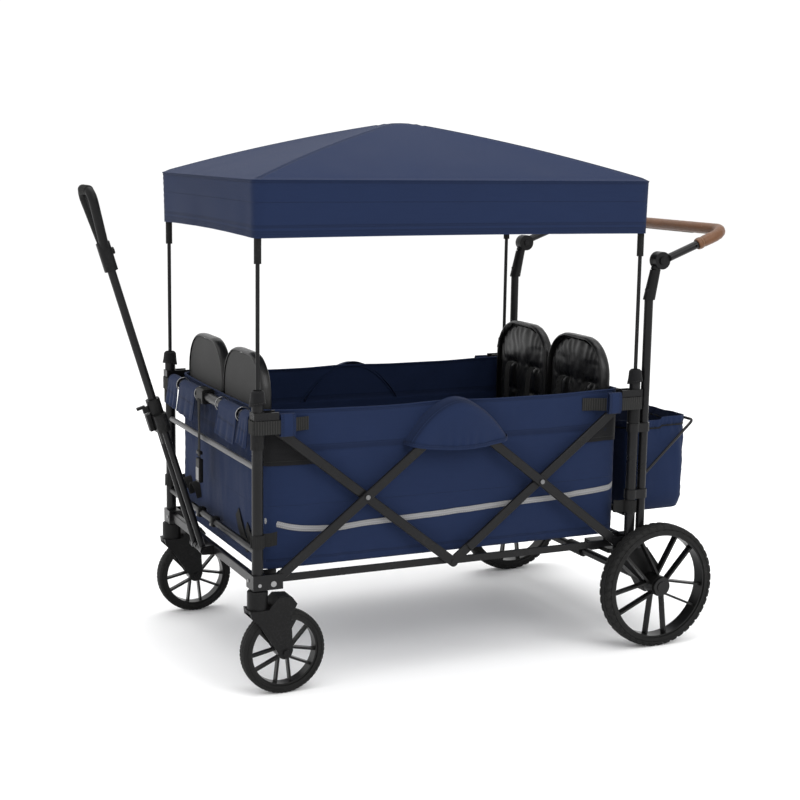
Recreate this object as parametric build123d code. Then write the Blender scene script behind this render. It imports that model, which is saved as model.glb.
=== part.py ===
from build123d import *
import os
from math import atan2, cos, degrees, hypot, radians, sin, sqrt

# Folding four-seat wagon. Millimetres, +Z up, the ground at Z = 0.
# -X is the front (pull handle), +X the rear (push handle); each side piece is
# modelled on the -Y side and mirrored.

# ---------------------------------------------------------------- driving dimensions
# Corner posts
POST_X = 478.0          # post centre, ahead of and behind the middle
POST_Y = 328.0          # post centre, to each side of the middle
POST_OD = 25.0
POST_WALL = 1.8
POST_FOOT_Z = 238.0
POST_TOP_Z = 560.0
COLLAR_OD = 31.0
COLLAR_FOOT_Z = 551.0
COLLAR_TOP_Z = 587.0
INNER_OD = 19.0         # telescoping tube of the top frames
INNER_WALL = 1.4
INNER_FOOT_Z = 285.0
INNER_TOP_Z = 646.0
RUN_CLEAR = 0.05        # radial clearance of every running fit
SEAT_GAP = 0.5          # gap between pieces that pass each other

# Scissor linkage
PIVOT_IN = 32.0         # bar pivots inboard of the post centres
PIVOT_LOW_Z = 253.0
PIVOT_TOP_Z = 601.0
BAR_HEIGHT = 22.0
BAR_THICK = 9.0
BAR_WALL = 1.2
BAR_EYE_LONG = 16.0     # eye and neck of a bar's end that turns on a bracket
BAR_LAP_LONG = 50.0     # half-thick end of a bar that folds against another bar
BAR_NECK_IN = 14.0      # how far a neck reaches into its hollow bar
BAR_INNER_Y = POST_Y - 2.0     # centre plane of the inner bars
BAR_OUTER_Y = BAR_INNER_Y + BAR_THICK + 1.0     # centre plane of the outer bars
BOLT_D = 8.0
RAIL_HEIGHT = 16.0
RAIL_THICK = 7.0
RAIL_FRONT_Y = POST_Y - 23.5    # centre plane of the front half rails
RAIL_REAR_Y = RAIL_FRONT_Y + RAIL_THICK + 1.5     # centre plane of the rear half rails

# Corner brackets
BRACKET_LOW_Z = 240.0
BRACKET_HIGH = 34.0
BRACKET_REACH = 54.0    # from the post centre, along the wagon
BRACKET_SHEET = 2.5
BRACKET_OUT_Y = POST_Y + POST_OD / 2 + BRACKET_SHEET
BRACKET_IN_Y = POST_Y - 31.0
TOP_BRACKET_IN_Y = POST_Y - 15.0
TOP_BRACKET_Z = 588.5
TOP_BRACKET_HIGH = 44.0
CAP_HIGH = 42.0
CAP_D = 26.0

# Cross members of the end frames
END_RAIL_HIGH = 22.0
END_RAIL_THICK = 14.0
END_RAIL_WALL = 1.5
CROSS_TUBE_Z = 323.0
CROSS_TUBE_D = 16.0
GREY_TUBE_Z = 508.0
GREY_TUBE_D = 13.0
TOP_RAIL_Z = 612.0
TOP_RAIL_D = 22.0

# Front casters
CASTER_TRAIL = 58.0
FRONT_WHEEL_D = 192.0
FRONT_TYRE_WIDE = 32.0
BARREL_D = 46.0
BARREL_FOOT_Z = 198.0
STEM_D = 12.0
FORK_ARM = 6.0
FORK_GAP = 3.0

# Rear wheels
REAR_WHEEL_D = 304.0
REAR_TYRE_WIDE = 40.0
REAR_AXLE_BACK = 58.0   # behind the rear posts
REAR_TYRE_IN_Y = BRACKET_OUT_Y + 4.0
AXLE_D = 12.0
AXLE_TUBE_D = 20.0

# Push handle
UPRIGHT_BACK = 30.0     # behind the rear posts
UPRIGHT_D = 21.0
TUBE_WALL = 1.5         # wall of the handle tubes, uprights, cross tubes and top rails
UPRIGHT_FOOT_Z = 276.0
UPRIGHT_TOP_Z = 872.0
PUSH_AXIS_BACK = 57.0
PUSH_AXIS_Z = 939.0
PUSH_DISC_D = 42.0
PUSH_DISC_WIDE = 13.0
PUSH_REACH = 196.0
PUSH_TILT = 21.0
PUSH_BAR_D = 19.0
PUSH_ARM_OUT = 10.5      # arm centre outboard of the post centre
PUSH_CORNER_R = 46.0
PUSH_GRIP_START = 104.0
PUSH_GRIP_D = 29.0
PUSH_BUTTON_D = 19.0
PUSH_BUTTON_TRAVEL = 4.0
PUSH_POCKET_DEEP = 6.5
PUSH_PIN_D = 14.0

# Pull handle
PULL_LEAN = 17.0
PULL_AXIS_X = -POST_X - 29.0
PULL_AXIS_Z = 258.0
PULL_TUBE_D = 15.0
PULL_FOOT_Y = 31.0
PULL_HEAD_Y = 24.0
PULL_COUPLING_AT = 300.0
PULL_COUPLING_LONG = 76.0
PULL_UPPER_D = 19.0
PULL_UPPER_FOOT = 268.0
PULL_NECK_AT = 700.0
PULL_GRIP_LONG = 132.0
PULL_GRIP_WIDE = 118.0
PULL_GRIP_BEND = 20.0
PULL_BUTTON_D = 16.0
PULL_BUTTON_AT = 728.0      # up the handle from its pivot
PULL_BUTTON_IN = 12.5       # inner face of the button, behind the handle's middle
PULL_BUTTON_LONG = 7.0
PULL_BUTTON_TRAVEL = 2.0
PULL_GRIP_D = 21.0
PULL_TRAVEL = 190.0
SPRING_D = 18.0
SPRING_BORE = 11.6
SPRING_TURNS = 5

# Canopy
CANOPY_X = POST_X + 12.0
CANOPY_Y = POST_Y + 15.0
CANOPY_HEM_Z = 1004.0
CANOPY_EAVE_Z = 1128.0
CANOPY_PEAK_Z = 1257.0
CANOPY_CLOTH = 3.0
ROOF_KNEE_PLAN = 0.49   # share of the plan where the roof gets flatter
ROOF_KNEE_RISE = 0.58   # share of the roof's rise at that knee
ROD_D = 9.0
ROD_FOOT_Z = 540.0
SLEEVE_D = 16.0
SLEEVE_FOOT_Z = CANOPY_HEM_Z - 54.0
SLEEVE_GRIP = 40.0      # how far a rod enters its sleeve
STAY_D = 6.0

# Soft goods
TUB_X = POST_X - 23.0
TUB_Y = POST_Y - 33.0
TUB_FLOOR_Z = 272.0
TUB_TOP_Z = 630.0
TUB_CLOTH = 4.0
MAT_THICK = 12.0
SEAT_TOP_Z = 742.0
SEAT_LOW_Z = 330.0
SEAT_BACK_THICK = 24.0
SEAT_CUSHION_THICK = 46.0
SEAT_DEEP = 205.0
SEAT_WIDE = 262.0
SEAT_SPLIT = 8.0
FLAP_HALF = 128.0
FLAP_DROP = 97.0
FLAP_CLOTH = 2.0
BASKET_FRONT_X = POST_X + 46.0
BASKET_DEEP = 160.0
BASKET_HALF_WIDE = 262.0
BASKET_TOP_Z = 545.0
BASKET_FLOOR_Z = 308.0
BASKET_CLOTH = 3.0
BASKET_FRAME_D = 7.0
BASKET_FRAME_LOW = 149.0    # below the bag's edge, where the rod leaves the uprights
BASKET_FRAME_HIGH = 11.0    # below the bag's edge, along its far side
RAIL_FLAPS = ((-300.0, -245.0), (-225.0, -105.0), (75.0, 200.0), (222.0, 292.0))
STRAP_AT_Y = 40.0       # hanging strap, to the left of the middle
STRAP_DROP = 150.0      # from the top rail to the buckle
BUCKLE_LONG = 58.0

# ---------------------------------------------------------------- worked-out places
PIVOT_X = POST_X - PIVOT_IN
BAR_LONG = hypot(PIVOT_X, PIVOT_TOP_Z - PIVOT_LOW_Z)
BAR_SLOPE = degrees(atan2(PIVOT_TOP_Z - PIVOT_LOW_Z, PIVOT_X))
CROSS_X = PIVOT_X / 2
CROSS_Z = (PIVOT_LOW_Z + PIVOT_TOP_Z) / 2
CAP_FOOT_Z = TOP_BRACKET_Z + TOP_BRACKET_HIGH
CAP_TOP_Z = CAP_FOOT_Z + CAP_HIGH
FRONT_R = FRONT_WHEEL_D / 2
REAR_R = REAR_WHEEL_D / 2
FRONT_AXLE_X = -POST_X + CASTER_TRAIL
REAR_AXLE_X = POST_X + REAR_AXLE_BACK
UPRIGHT_X = POST_X + UPRIGHT_BACK
PUSH_AXIS_X = POST_X + PUSH_AXIS_BACK
REAR_WHEEL_Y = REAR_TYRE_IN_Y + REAR_TYRE_WIDE / 2

NODES = {}


# ---------------------------------------------------------------- helpers
def rod(start, end, diameter):
    """Round bar between two points."""
    a, b = Vector(*start), Vector(*end)
    base = Plane(origin=a, z_dir=b - a)
    return extrude(base * Circle(diameter / 2), amount=(b - a).length)


def tube(start, end, outer, inner):
    """Round tube between two points, open at both ends."""
    a, b = Vector(*start), Vector(*end)
    base = Plane(origin=a, z_dir=b - a)
    ring = Circle(outer / 2) - Circle(inner / 2)
    return extrude(base * ring, amount=(b - a).length)


def across(x, z, y_from, y_to, diameter):
    """Round pin along Y."""
    return rod((x, y_from, z), (x, y_to, z), diameter)


def across_ring(x, z, y_from, y_to, outer, inner):
    """Ring or bush along Y."""
    return tube((x, y_from, z), (x, y_to, z), outer, inner)


def block(x_from, x_to, y_from, y_to, z_from, z_to):
    """Plain block between two corners."""
    size = (x_to - x_from, y_to - y_from, z_to - z_from)
    middle = ((x_from + x_to) / 2, (y_from + y_to) / 2, (z_from + z_to) / 2)
    return Pos(*middle) * Box(*size)


def side_plate(points, y_from, y_to):
    """Plate cut from an outline given in X and Z, thick along Y."""
    outline = Plane.XZ.offset(-y_from) * make_face(Polyline(*points, close=True))
    return extrude(outline, amount=y_from - y_to)


def mirrored(shape):
    """The same piece on the +Y side."""
    return mirror(shape, about=Plane.XZ)


def pair(shape):
    """A side piece and its mirror image."""
    return [shape, mirrored(shape)]


def rounded(shape, radius, edges=None):
    """Fillet the given edges, all of them by default."""
    return fillet(shape.edges() if edges is None else edges, radius)


def node(name, shapes):
    """Write one sub-part as a node made of its separate solids."""
    solids = []
    for shape in shapes:
        solids.extend(shape.solids())
    NODES[name] = solids


def rivet(x, z, y_face, outward, diameter=8.0, high=1.2):
    """Flat rivet head on a side face."""
    return across(x, z, y_face, y_face + outward * high, diameter)


# ---------------------------------------------------------------- end frames
def post(x):
    """Outer corner post."""
    foot, top = (x, -POST_Y, POST_FOOT_Z), (x, -POST_Y, POST_TOP_Z)
    return tube(foot, top, POST_OD, POST_OD - 2 * POST_WALL)


def collar(x):
    """Plastic bush on the post's top that guides the telescoping tube."""
    low, seat, top = (COLLAR_FOOT_Z, POST_TOP_Z, COLLAR_TOP_Z)
    skirt = tube((x, -POST_Y, low), (x, -POST_Y, seat), COLLAR_OD, POST_OD)
    guide = tube((x, -POST_Y, seat), (x, -POST_Y, top), COLLAR_OD, INNER_OD + 2 * RUN_CLEAR)
    return skirt + guide


def lower_bracket(x, inboard):
    """Sheet bracket round the post's foot, with two cheeks that carry the bar and rail pivot."""
    z_from, z_to = BRACKET_LOW_Z, BRACKET_LOW_Z + BRACKET_HIGH
    near_x = x - inboard * (POST_OD / 2 + BRACKET_SHEET)
    core_x = x + inboard * (POST_OD / 2 + BRACKET_SHEET)
    far_x = x + inboard * BRACKET_REACH
    core = block(min(near_x, core_x), max(near_x, core_x), -BRACKET_OUT_Y, -BRACKET_IN_Y, z_from, z_to)
    core -= rod((x, -POST_Y, z_from - 1), (x, -POST_Y, z_to + 1), POST_OD)
    low_x, high_x = min(core_x, far_x), max(core_x, far_x)
    outer = block(low_x, high_x, -BRACKET_OUT_Y, -BRACKET_OUT_Y + BRACKET_SHEET, z_from, z_to)
    inner = block(low_x, high_x, -BRACKET_IN_Y - BRACKET_SHEET, -BRACKET_IN_Y, z_from, z_to)
    bracket = core + outer + inner
    pivot_x = x + inboard * PIVOT_IN
    return bracket - across(pivot_x, PIVOT_LOW_Z, -BRACKET_OUT_Y - 1, -BRACKET_IN_Y + 1, BOLT_D)


def top_bracket(x, inboard):
    """Bracket on the telescoping tube that carries the upper bar pivot."""
    z_from, z_to = TOP_BRACKET_Z, TOP_BRACKET_Z + TOP_BRACKET_HIGH
    half = CAP_D / 2
    near_x, core_x = x - inboard * half, x + inboard * half
    far_x = x + inboard * (PIVOT_IN + 12)
    core = block(min(near_x, core_x), max(near_x, core_x), -BRACKET_OUT_Y, -TOP_BRACKET_IN_Y, z_from, z_to)
    core -= rod((x, -POST_Y, z_from - 1), (x, -POST_Y, z_to + 1), INNER_OD)
    low_x, high_x = min(core_x, far_x), max(core_x, far_x)
    outer = block(low_x, high_x, -BRACKET_OUT_Y, -BRACKET_OUT_Y + BRACKET_SHEET, z_from, z_to)
    inner = block(low_x, high_x, -TOP_BRACKET_IN_Y - BRACKET_SHEET, -TOP_BRACKET_IN_Y, z_from, z_to)
    bracket = core + outer + inner
    pivot_x = x + inboard * PIVOT_IN
    return bracket - across(pivot_x, PIVOT_TOP_Z, -BRACKET_OUT_Y - 1, -TOP_BRACKET_IN_Y + 1, BOLT_D)


def pivot_bolt(x, z, y_in, y_out):
    """Bolt through a bracket with a head on each side."""
    shank = across(x, z, -y_out, -y_in, BOLT_D)
    outer_head = rivet(x, z, -y_out, -1, 13.0)
    inner_head = rivet(x, z, -y_in, 1, 13.0)
    return shank + outer_head + inner_head


def lower_bolt(x, inboard):
    """Lower pivot bolt with the spacer between the rail half and the bar."""
    return pivot_bolt(x + inboard * PIVOT_IN, PIVOT_LOW_Z, BRACKET_IN_Y, BRACKET_OUT_Y)


def top_bolt(x, inboard):
    """Upper pivot bolt."""
    return pivot_bolt(x + inboard * PIVOT_IN, PIVOT_TOP_Z, TOP_BRACKET_IN_Y, BRACKET_OUT_Y)


def post_socket(x, diameter, z):
    """Cutter for a cross tube's end where it meets the two posts."""
    return [rod((x, side * POST_Y, z - 40), (x, side * POST_Y, z + 40), diameter) for side in (-1, 1)]


def end_rail(x):
    """Flat rectangular rail across the bottom of an end frame."""
    z = BRACKET_LOW_Z + BRACKET_HIGH / 2
    section = RectangleRounded(END_RAIL_THICK, END_RAIL_HIGH, 2.5)
    section -= RectangleRounded(END_RAIL_THICK - 2 * END_RAIL_WALL, END_RAIL_HIGH - 2 * END_RAIL_WALL, 1.2)
    profile = Plane(origin=(x, -BRACKET_IN_Y, z), x_dir=(1, 0, 0), z_dir=(0, 1, 0)) * section
    return extrude(profile, amount=2 * BRACKET_IN_Y)


def cross_tube(x, z, diameter, post_diameter):
    """Round tube between the posts, coped to their walls."""
    bar = across_ring(x, z, -POST_Y, POST_Y, diameter, diameter - 2 * TUBE_WALL)
    for cutter in post_socket(x, post_diameter, z):
        bar -= cutter
    return bar


def corner_rivets(x, inboard):
    """Rivet heads of a lower bracket on its side and end faces."""
    z = BRACKET_LOW_Z + BRACKET_HIGH / 2
    side_head = rivet(x, z - 5, -BRACKET_OUT_Y, -1, 8.0)
    end_x = x - inboard * (POST_OD / 2 + BRACKET_SHEET)
    end_head = rod((end_x, -BRACKET_IN_Y - 14, z), (end_x - inboard * 1.5, -BRACKET_IN_Y - 14, z), 8.0)
    return [side_head, end_head]


def lower_end_frame(prefix, x, inboard, uprights, fittings, shafts):
    """One lower end frame; the last three lists are the pieces only this end has."""
    node(prefix + "_posts", pair(post(x)) + uprights)
    node(prefix + "_post_fittings", pair(collar(x)) + fittings)
    node(prefix + "_lower_brackets", pair(lower_bracket(x, inboard)))
    heads = [shape for head in corner_rivets(x, inboard) for shape in pair(head)]
    node(prefix + "_lower_fasteners", pair(lower_bolt(x, inboard)) + heads)
    cross = cross_tube(x, CROSS_TUBE_Z, CROSS_TUBE_D, POST_OD)
    node(prefix + "_rails", [end_rail(x), cross] + shafts)


def top_end_frame(prefix, x, inboard):
    """One telescoping top frame."""
    foot, top = (x, -POST_Y, INNER_FOOT_Z), (x, -POST_Y, INNER_TOP_Z)
    inner = tube(foot, top, INNER_OD, INNER_OD - 2 * INNER_WALL)
    inner_d = TOP_RAIL_D - 2 * TUBE_WALL
    rail = across_ring(x, TOP_RAIL_Z, -TOP_BRACKET_IN_Y, TOP_BRACKET_IN_Y, TOP_RAIL_D, inner_d)
    node(prefix + "_top_tubes", pair(inner) + [rail])
    corner = pair(top_bracket(x, inboard)) + pair(top_bolt(x, inboard))
    node(prefix + "_top_corners", corner + pair(canopy_socket(x)))


def canopy_socket(x):
    """Capped socket on a corner that a canopy rod drops into."""
    skirt = tube((x, -POST_Y, CAP_FOOT_Z), (x, -POST_Y, INNER_TOP_Z), CAP_D, INNER_OD)
    z_from, z_to = INNER_TOP_Z, CAP_TOP_Z
    body = Pos(x, -POST_Y, (z_from + z_to) / 2) * Cone(CAP_D / 2, SLEEVE_D / 2 + 2, z_to - z_from)
    body -= rod((x, -POST_Y, z_from - 1), (x, -POST_Y, z_to + 1), ROD_D + 2 * RUN_CLEAR)
    return skirt + body


# ---------------------------------------------------------------- scissor linkage
def flat_bar(y, tab_low, tab_high, bolt_owner):
    """Side bar lying along X from its first pivot, hollow, with half-thick eyes at both ends."""
    half = BAR_THICK / 2
    section = Plane.YZ * RectangleRounded(BAR_THICK, BAR_HEIGHT, 2.8)
    hollow = Plane.YZ * RectangleRounded(BAR_THICK - 2 * BAR_WALL, BAR_HEIGHT - 2 * BAR_WALL, 1.6)
    reaches = [BAR_EYE_LONG if tab == whole(y) else BAR_LAP_LONG for tab in (tab_low, tab_high)]
    start, end = reaches[0], BAR_LONG - reaches[1]
    bar = Pos(start, y, 0) * extrude(section - hollow, amount=end - start)
    bar += across_ring(BAR_LONG / 2, 0, y - half, y + half, 18.0, BOLT_D)
    bore = BOLT_D if bolt_owner else BOLT_D + 2 * RUN_CLEAR
    bar -= across(BAR_LONG / 2, 0, y - half - 1, y + half + 1, bore)
    for at, tab, inward, reach in ((0.0, tab_low, 1, reaches[0]), (BAR_LONG, tab_high, -1, reaches[1])):
        y_from, y_to = tab
        eye = across(at, 0, y_from, y_to, BAR_HEIGHT)
        neck_x = at + inward * (reach + BAR_NECK_IN)
        neck = block(min(at, neck_x), max(at, neck_x), y_from, y_to, -BAR_HEIGHT / 2, BAR_HEIGHT / 2)
        bar += eye + neck
        bar -= across(at, 0, y_from - 1, y_to + 1, BOLT_D + 2 * RUN_CLEAR)
    return bar


def whole(y):
    """Y range of an eye as thick as its bar."""
    return (y - BAR_THICK / 2, y + BAR_THICK / 2)


def outer_half(y):
    """Y range of an eye that keeps the outer half of its bar."""
    return (y - BAR_THICK / 2, y - SEAT_GAP / 2)


def inner_half(y):
    """Y range of an eye that keeps the inner half of its bar."""
    return (y + SEAT_GAP / 2, y + BAR_THICK / 2)


def place_bar(bar, x, z, slope):
    """Put a bar's first pivot in place, rising by slope degrees towards +X."""
    return Pos(x, 0, z) * Rot(0, -slope, 0) * bar


def cross_bolt(x, z):
    """Bolt through a crossing pair, fixed in the outer bar."""
    outer = -BAR_OUTER_Y - BAR_THICK / 2
    inner = -BAR_INNER_Y + BAR_THICK / 2
    shank = across(x, z, outer, inner + SEAT_GAP, BOLT_D)
    return shank + rivet(x, z, outer, -1, 14.0) + rivet(x, z, inner + SEAT_GAP, 1, 13.0)


def scissors():
    """Four bars on each side, with their cross bolts and centre bolts."""
    yo, yi = -BAR_OUTER_Y, -BAR_INNER_Y
    bar_b = place_bar(flat_bar(yo, whole(yo), outer_half(yo), True), -PIVOT_X, PIVOT_LOW_Z, BAR_SLOPE)
    bar_a = place_bar(flat_bar(yi, whole(yi), outer_half(yi), False), -PIVOT_X, PIVOT_TOP_Z, -BAR_SLOPE)
    bar_c = place_bar(flat_bar(yi, inner_half(yi), whole(yi), False), 0, PIVOT_LOW_Z, BAR_SLOPE)
    bar_d = place_bar(flat_bar(yo, inner_half(yo), whole(yo), True), 0, PIVOT_TOP_Z, -BAR_SLOPE)
    low = across(0, PIVOT_LOW_Z, yi - BAR_THICK / 2, yi + BAR_THICK / 2 + SEAT_GAP, BOLT_D)
    low += rivet(0, PIVOT_LOW_Z, yi + BAR_THICK / 2 + SEAT_GAP, 1, 13.0)
    low += rivet(0, PIVOT_LOW_Z, yi - BAR_THICK / 2, -1, 13.0)
    outer, inner = yo - BAR_THICK / 2, yo + BAR_THICK / 2 + SEAT_GAP
    top = across(0, PIVOT_TOP_Z, outer, inner, BOLT_D - 1) + rivet(0, PIVOT_TOP_Z, outer, -1, 14.0)
    top += rivet(0, PIVOT_TOP_Z, inner, 1, 12.0)
    node("front_rising_bars", pair(bar_b) + pair(cross_bolt(-CROSS_X, CROSS_Z)) + pair(top))
    node("front_falling_bars", pair(bar_a) + pair(low))
    node("rear_rising_bars", pair(bar_c))
    node("rear_falling_bars", pair(bar_d) + pair(cross_bolt(CROSS_X, CROSS_Z)))


def half_rail(y, x_pivot, reach):
    """Half of a bottom side rail, from its corner pivot to just past the middle."""
    half = RAIL_THICK / 2
    direction = 1 if reach > 0 else -1
    outline = Plane.XZ.offset(-(y - half)) * (Pos(x_pivot + reach / 2, PIVOT_LOW_Z)
        * SlotCenterToCenter(abs(reach), RAIL_HEIGHT))
    rail = extrude(outline, amount=-RAIL_THICK)
    rail -= across(x_pivot, PIVOT_LOW_Z, y - half - 1, y + half + 1, BOLT_D + 2 * RUN_CLEAR)
    rail -= across(x_pivot + reach, PIVOT_LOW_Z, y - half - 1, y + half + 1, BOLT_D)
    return rail


# ---------------------------------------------------------------- wheels
def tyre(x, y, radius, width, thick):
    """Rubber ring with rounded shoulders."""
    ring = across_ring(x, radius, y - width / 2, y + width / 2, 2 * radius, 2 * (radius - thick))
    outer_edges = [e for e in ring.edges() if e.geom_type == GeomType.CIRCLE and e.radius > radius - 1]
    return fillet(outer_edges, min(thick * 0.6, width * 0.28))


def wheel_rim(x, y, wheel_r, tyre_thick, width, hub_d, hub_wide, bore):
    """Moulded rim: bed, five pairs of spokes and a hub with a bore for the axle."""
    z = wheel_r
    bed_out = wheel_r - tyre_thick
    bed_in = bed_out - 5.0
    body = across_ring(x, z, y - width / 2, y + width / 2, 2 * bed_out, 2 * bed_in)
    body += across(x, z, y - hub_wide / 2, y + hub_wide / 2, hub_d)
    spoke_wide = width * 0.5
    reach = bed_in + 1.5
    for step in range(5):
        turn = 90 + 72 * step
        for lean in (-1, 1):
            start = hub_d * 0.26
            spoke = block(hub_d * 0.4, reach, -spoke_wide / 2, spoke_wide / 2, -2.6, 2.6)
            spoke = Pos(0, 0, lean * start) * Rot(0, -lean * 6.5, 0) * spoke
            body += Pos(x, y, z) * Rot(0, turn, 0) * spoke
    return body - across(x, z, y - width, y + width, bore)


def wheel(name, x, y, wheel_r, tyre_thick, tyre_wide, hub_d, hub_wide, axle_d, caps):
    """Write a wheel's tyre, and its rim with any caps on the hub."""
    ring = tyre(x, y, wheel_r, tyre_wide, tyre_thick)
    body = wheel_rim(x, y, wheel_r, tyre_thick, tyre_wide - 6, hub_d, hub_wide, axle_d + 2 * RUN_CLEAR)
    node(name + "_tyre", [ring])
    node(name + "_rim", [body] + caps)


# ---------------------------------------------------------------- front casters
def barrel(x):
    """Swivel barrel under a front corner."""
    body = rod((x, -POST_Y, BARREL_FOOT_Z), (x, -POST_Y, POST_FOOT_Z), BARREL_D)
    top = [e for e in body.edges() if e.center().Z > POST_FOOT_Z - 1]
    body = chamfer(top, 2.0)
    return body - rod((x, -POST_Y, BARREL_FOOT_Z - 1), (x, -POST_Y, POST_FOOT_Z - 4), STEM_D + 2 * RUN_CLEAR)


def caster_fork(side):
    """Fork with a stem, a crown, a hood over the tyre and two tapering arms."""
    x, y = -POST_X, side * POST_Y
    crown_top = BARREL_FOOT_Z - 0.4
    crown_foot = crown_top - 7.0
    stem = rod((x, y, crown_top - 2), (x, y, POST_FOOT_Z - 6), STEM_D)
    crown = rod((x, y, crown_foot), (x, y, crown_top), BARREL_D + 6)
    arm_in = FRONT_TYRE_WIDE / 2 + FORK_GAP
    hood_x = x + BARREL_D / 2 + 3.0
    hood_end = FRONT_AXLE_X + 26
    outline = [(x - 24, crown_top), (x + 18, crown_top), (hood_x, crown_top + 10), (hood_x + 16, crown_top + 26),
               (hood_end - 12, crown_top + 24), (hood_end, crown_top + 8), (hood_end - 14, crown_foot - 14),
               (FRONT_AXLE_X + 16, FRONT_R + 4), (FRONT_AXLE_X + 11, FRONT_R - 10),
               (FRONT_AXLE_X - 3, FRONT_R - 14), (FRONT_AXLE_X - 15, FRONT_R - 4),
               (x - 4, crown_foot - 26), (x - 22, crown_foot - 8)]
    fork = stem + crown
    for hand in (-1, 1):
        y_from, y_to = y + hand * arm_in, y + hand * (arm_in + FORK_ARM)
        fork += side_plate(outline, min(y_from, y_to), max(y_from, y_to))
    hood = [(hood_x, crown_top + 10), (hood_x + 16, crown_top + 26), (hood_end - 12, crown_top + 24),
            (hood_end, crown_top + 8), (hood_end - 3, crown_top + 3), (hood_x, crown_foot + 2)]
    fork += side_plate(hood, y - arm_in - 1, y + arm_in + 1)
    fork += block(x - 24, x + 24, y - arm_in - 1, y + arm_in + 1, crown_foot, crown_top)
    fork -= rod((x, y, crown_top), (x, y, crown_top + 60), BARREL_D + 5) - rod(
        (x, y, crown_top), (x, y, crown_top + 60), STEM_D)
    fork -= across(FRONT_AXLE_X, FRONT_R, y - 60, y + 60, BOLT_D)
    fork -= across(FRONT_AXLE_X, FRONT_R, y - arm_in, y + arm_in, 2 * FRONT_R + 5)
    return fork


def caster_bolt(side):
    """Axle bolt through the fork and the front wheel."""
    y = side * POST_Y
    face = FRONT_TYRE_WIDE / 2 + FORK_GAP + FORK_ARM
    bolt = across(FRONT_AXLE_X, FRONT_R, y - face, y + face, BOLT_D)
    for hand in (-1, 1):
        bolt += across(FRONT_AXLE_X, FRONT_R, y + hand * face, y + hand * (face + 4.5), 15.0)
    return bolt


def casters():
    """Both front casters with their wheels."""
    for name, side in (("right", -1), ("left", 1)):
        node("caster_fork_" + name, [caster_fork(side), caster_bolt(side)])
        wheel("front_wheel_" + name, FRONT_AXLE_X, side * POST_Y, FRONT_R, 17.0,
              FRONT_TYRE_WIDE, 34.0, FRONT_TYRE_WIDE + 2, BOLT_D, [])


# ---------------------------------------------------------------- rear running gear
def axle_housing():
    """Plastic housing that hangs the rear axle from a rear corner."""
    top_z = BRACKET_LOW_Z
    outline = [(POST_X - 24, top_z), (POST_X + 46, top_z), (REAR_AXLE_X + 24, REAR_R + 40),
               (REAR_AXLE_X + 26, REAR_R - 4), (REAR_AXLE_X + 12, REAR_R - 24),
               (REAR_AXLE_X - 14, REAR_R - 24), (REAR_AXLE_X - 34, REAR_R + 10), (POST_X - 24, top_z - 34)]
    body = side_plate(outline, -BRACKET_OUT_Y + 1, -BRACKET_IN_Y - 6)
    body -= across(REAR_AXLE_X, REAR_R, -BRACKET_OUT_Y - 1, -BRACKET_IN_Y + 1, AXLE_D)
    return body - rod((POST_X, -POST_Y, POST_FOOT_Z), (POST_X, -POST_Y, top_z + 1), POST_OD)


def rear_axle():
    """Axle across the wagon with a thicker tube between the housings."""
    housing_in = BRACKET_IN_Y + 6
    end = REAR_TYRE_IN_Y + REAR_TYRE_WIDE + 2
    shaft = across(REAR_AXLE_X, REAR_R, -end, end, AXLE_D)
    return shaft + across(REAR_AXLE_X, REAR_R, -housing_in, housing_in, AXLE_TUBE_D)


def brake_pedal():
    """Foot bar that rocks on the axle tube, with a tread plate in the middle."""
    ring = across_ring(REAR_AXLE_X, REAR_R, -34, 34, AXLE_TUBE_D + 12, AXLE_TUBE_D + 2 * RUN_CLEAR)
    arm = block(REAR_AXLE_X + AXLE_TUBE_D / 2 + 3, REAR_AXLE_X + 66, -20, 20, REAR_R - 5, REAR_R + 5)
    plate = block(REAR_AXLE_X + 58, REAR_AXLE_X + 112, -62, 62, REAR_R - 6, REAR_R + 6)
    plate = rounded(plate, 5.0, plate.edges().filter_by(Axis.Z))
    return ring + arm + plate


def hub_cap(side):
    """Round cap on the outer face of a rear hub, with two stepped rings."""
    y = side * (REAR_TYRE_IN_Y + REAR_TYRE_WIDE + 2.6)
    cap = across(REAR_AXLE_X, REAR_R, y, y + side * 4, 44.0)
    cap += across(REAR_AXLE_X, REAR_R, y + side * 4, y + side * 6, 26.0)
    return cap


def rear_wheels():
    """Rear wheels on the axle ends."""
    for name, side in (("right", -1), ("left", 1)):
        y = side * REAR_WHEEL_Y
        wheel("rear_wheel_" + name, REAR_AXLE_X, y, REAR_R, 22.0, REAR_TYRE_WIDE,
              50.0, REAR_TYRE_WIDE - 1, AXLE_D, [hub_cap(side)])


# ---------------------------------------------------------------- push handle
def upright():
    """Upright tube behind a rear post."""
    foot, top = (UPRIGHT_X, -POST_Y, UPRIGHT_FOOT_Z), (UPRIGHT_X, -POST_Y, UPRIGHT_TOP_Z)
    return tube(foot, top, UPRIGHT_D, UPRIGHT_D - 2 * TUBE_WALL)


def upright_clamp(z_from, z_to):
    """Clamp that ties an upright to the post in front of it."""
    y = -POST_Y
    body = rod((POST_X, y, z_from), (POST_X, y, z_to), POST_OD + 6)
    body += rod((UPRIGHT_X, y, z_from), (UPRIGHT_X, y, z_to), UPRIGHT_D + 6)
    body += block(POST_X, UPRIGHT_X, y - 13.5, y + 13.5, z_from, z_to)
    body -= rod((POST_X, y, z_from - 1), (POST_X, y, z_to + 1), POST_OD)
    return body - rod((UPRIGHT_X, y, z_from - 1), (UPRIGHT_X, y, z_to + 1), UPRIGHT_D)


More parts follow.
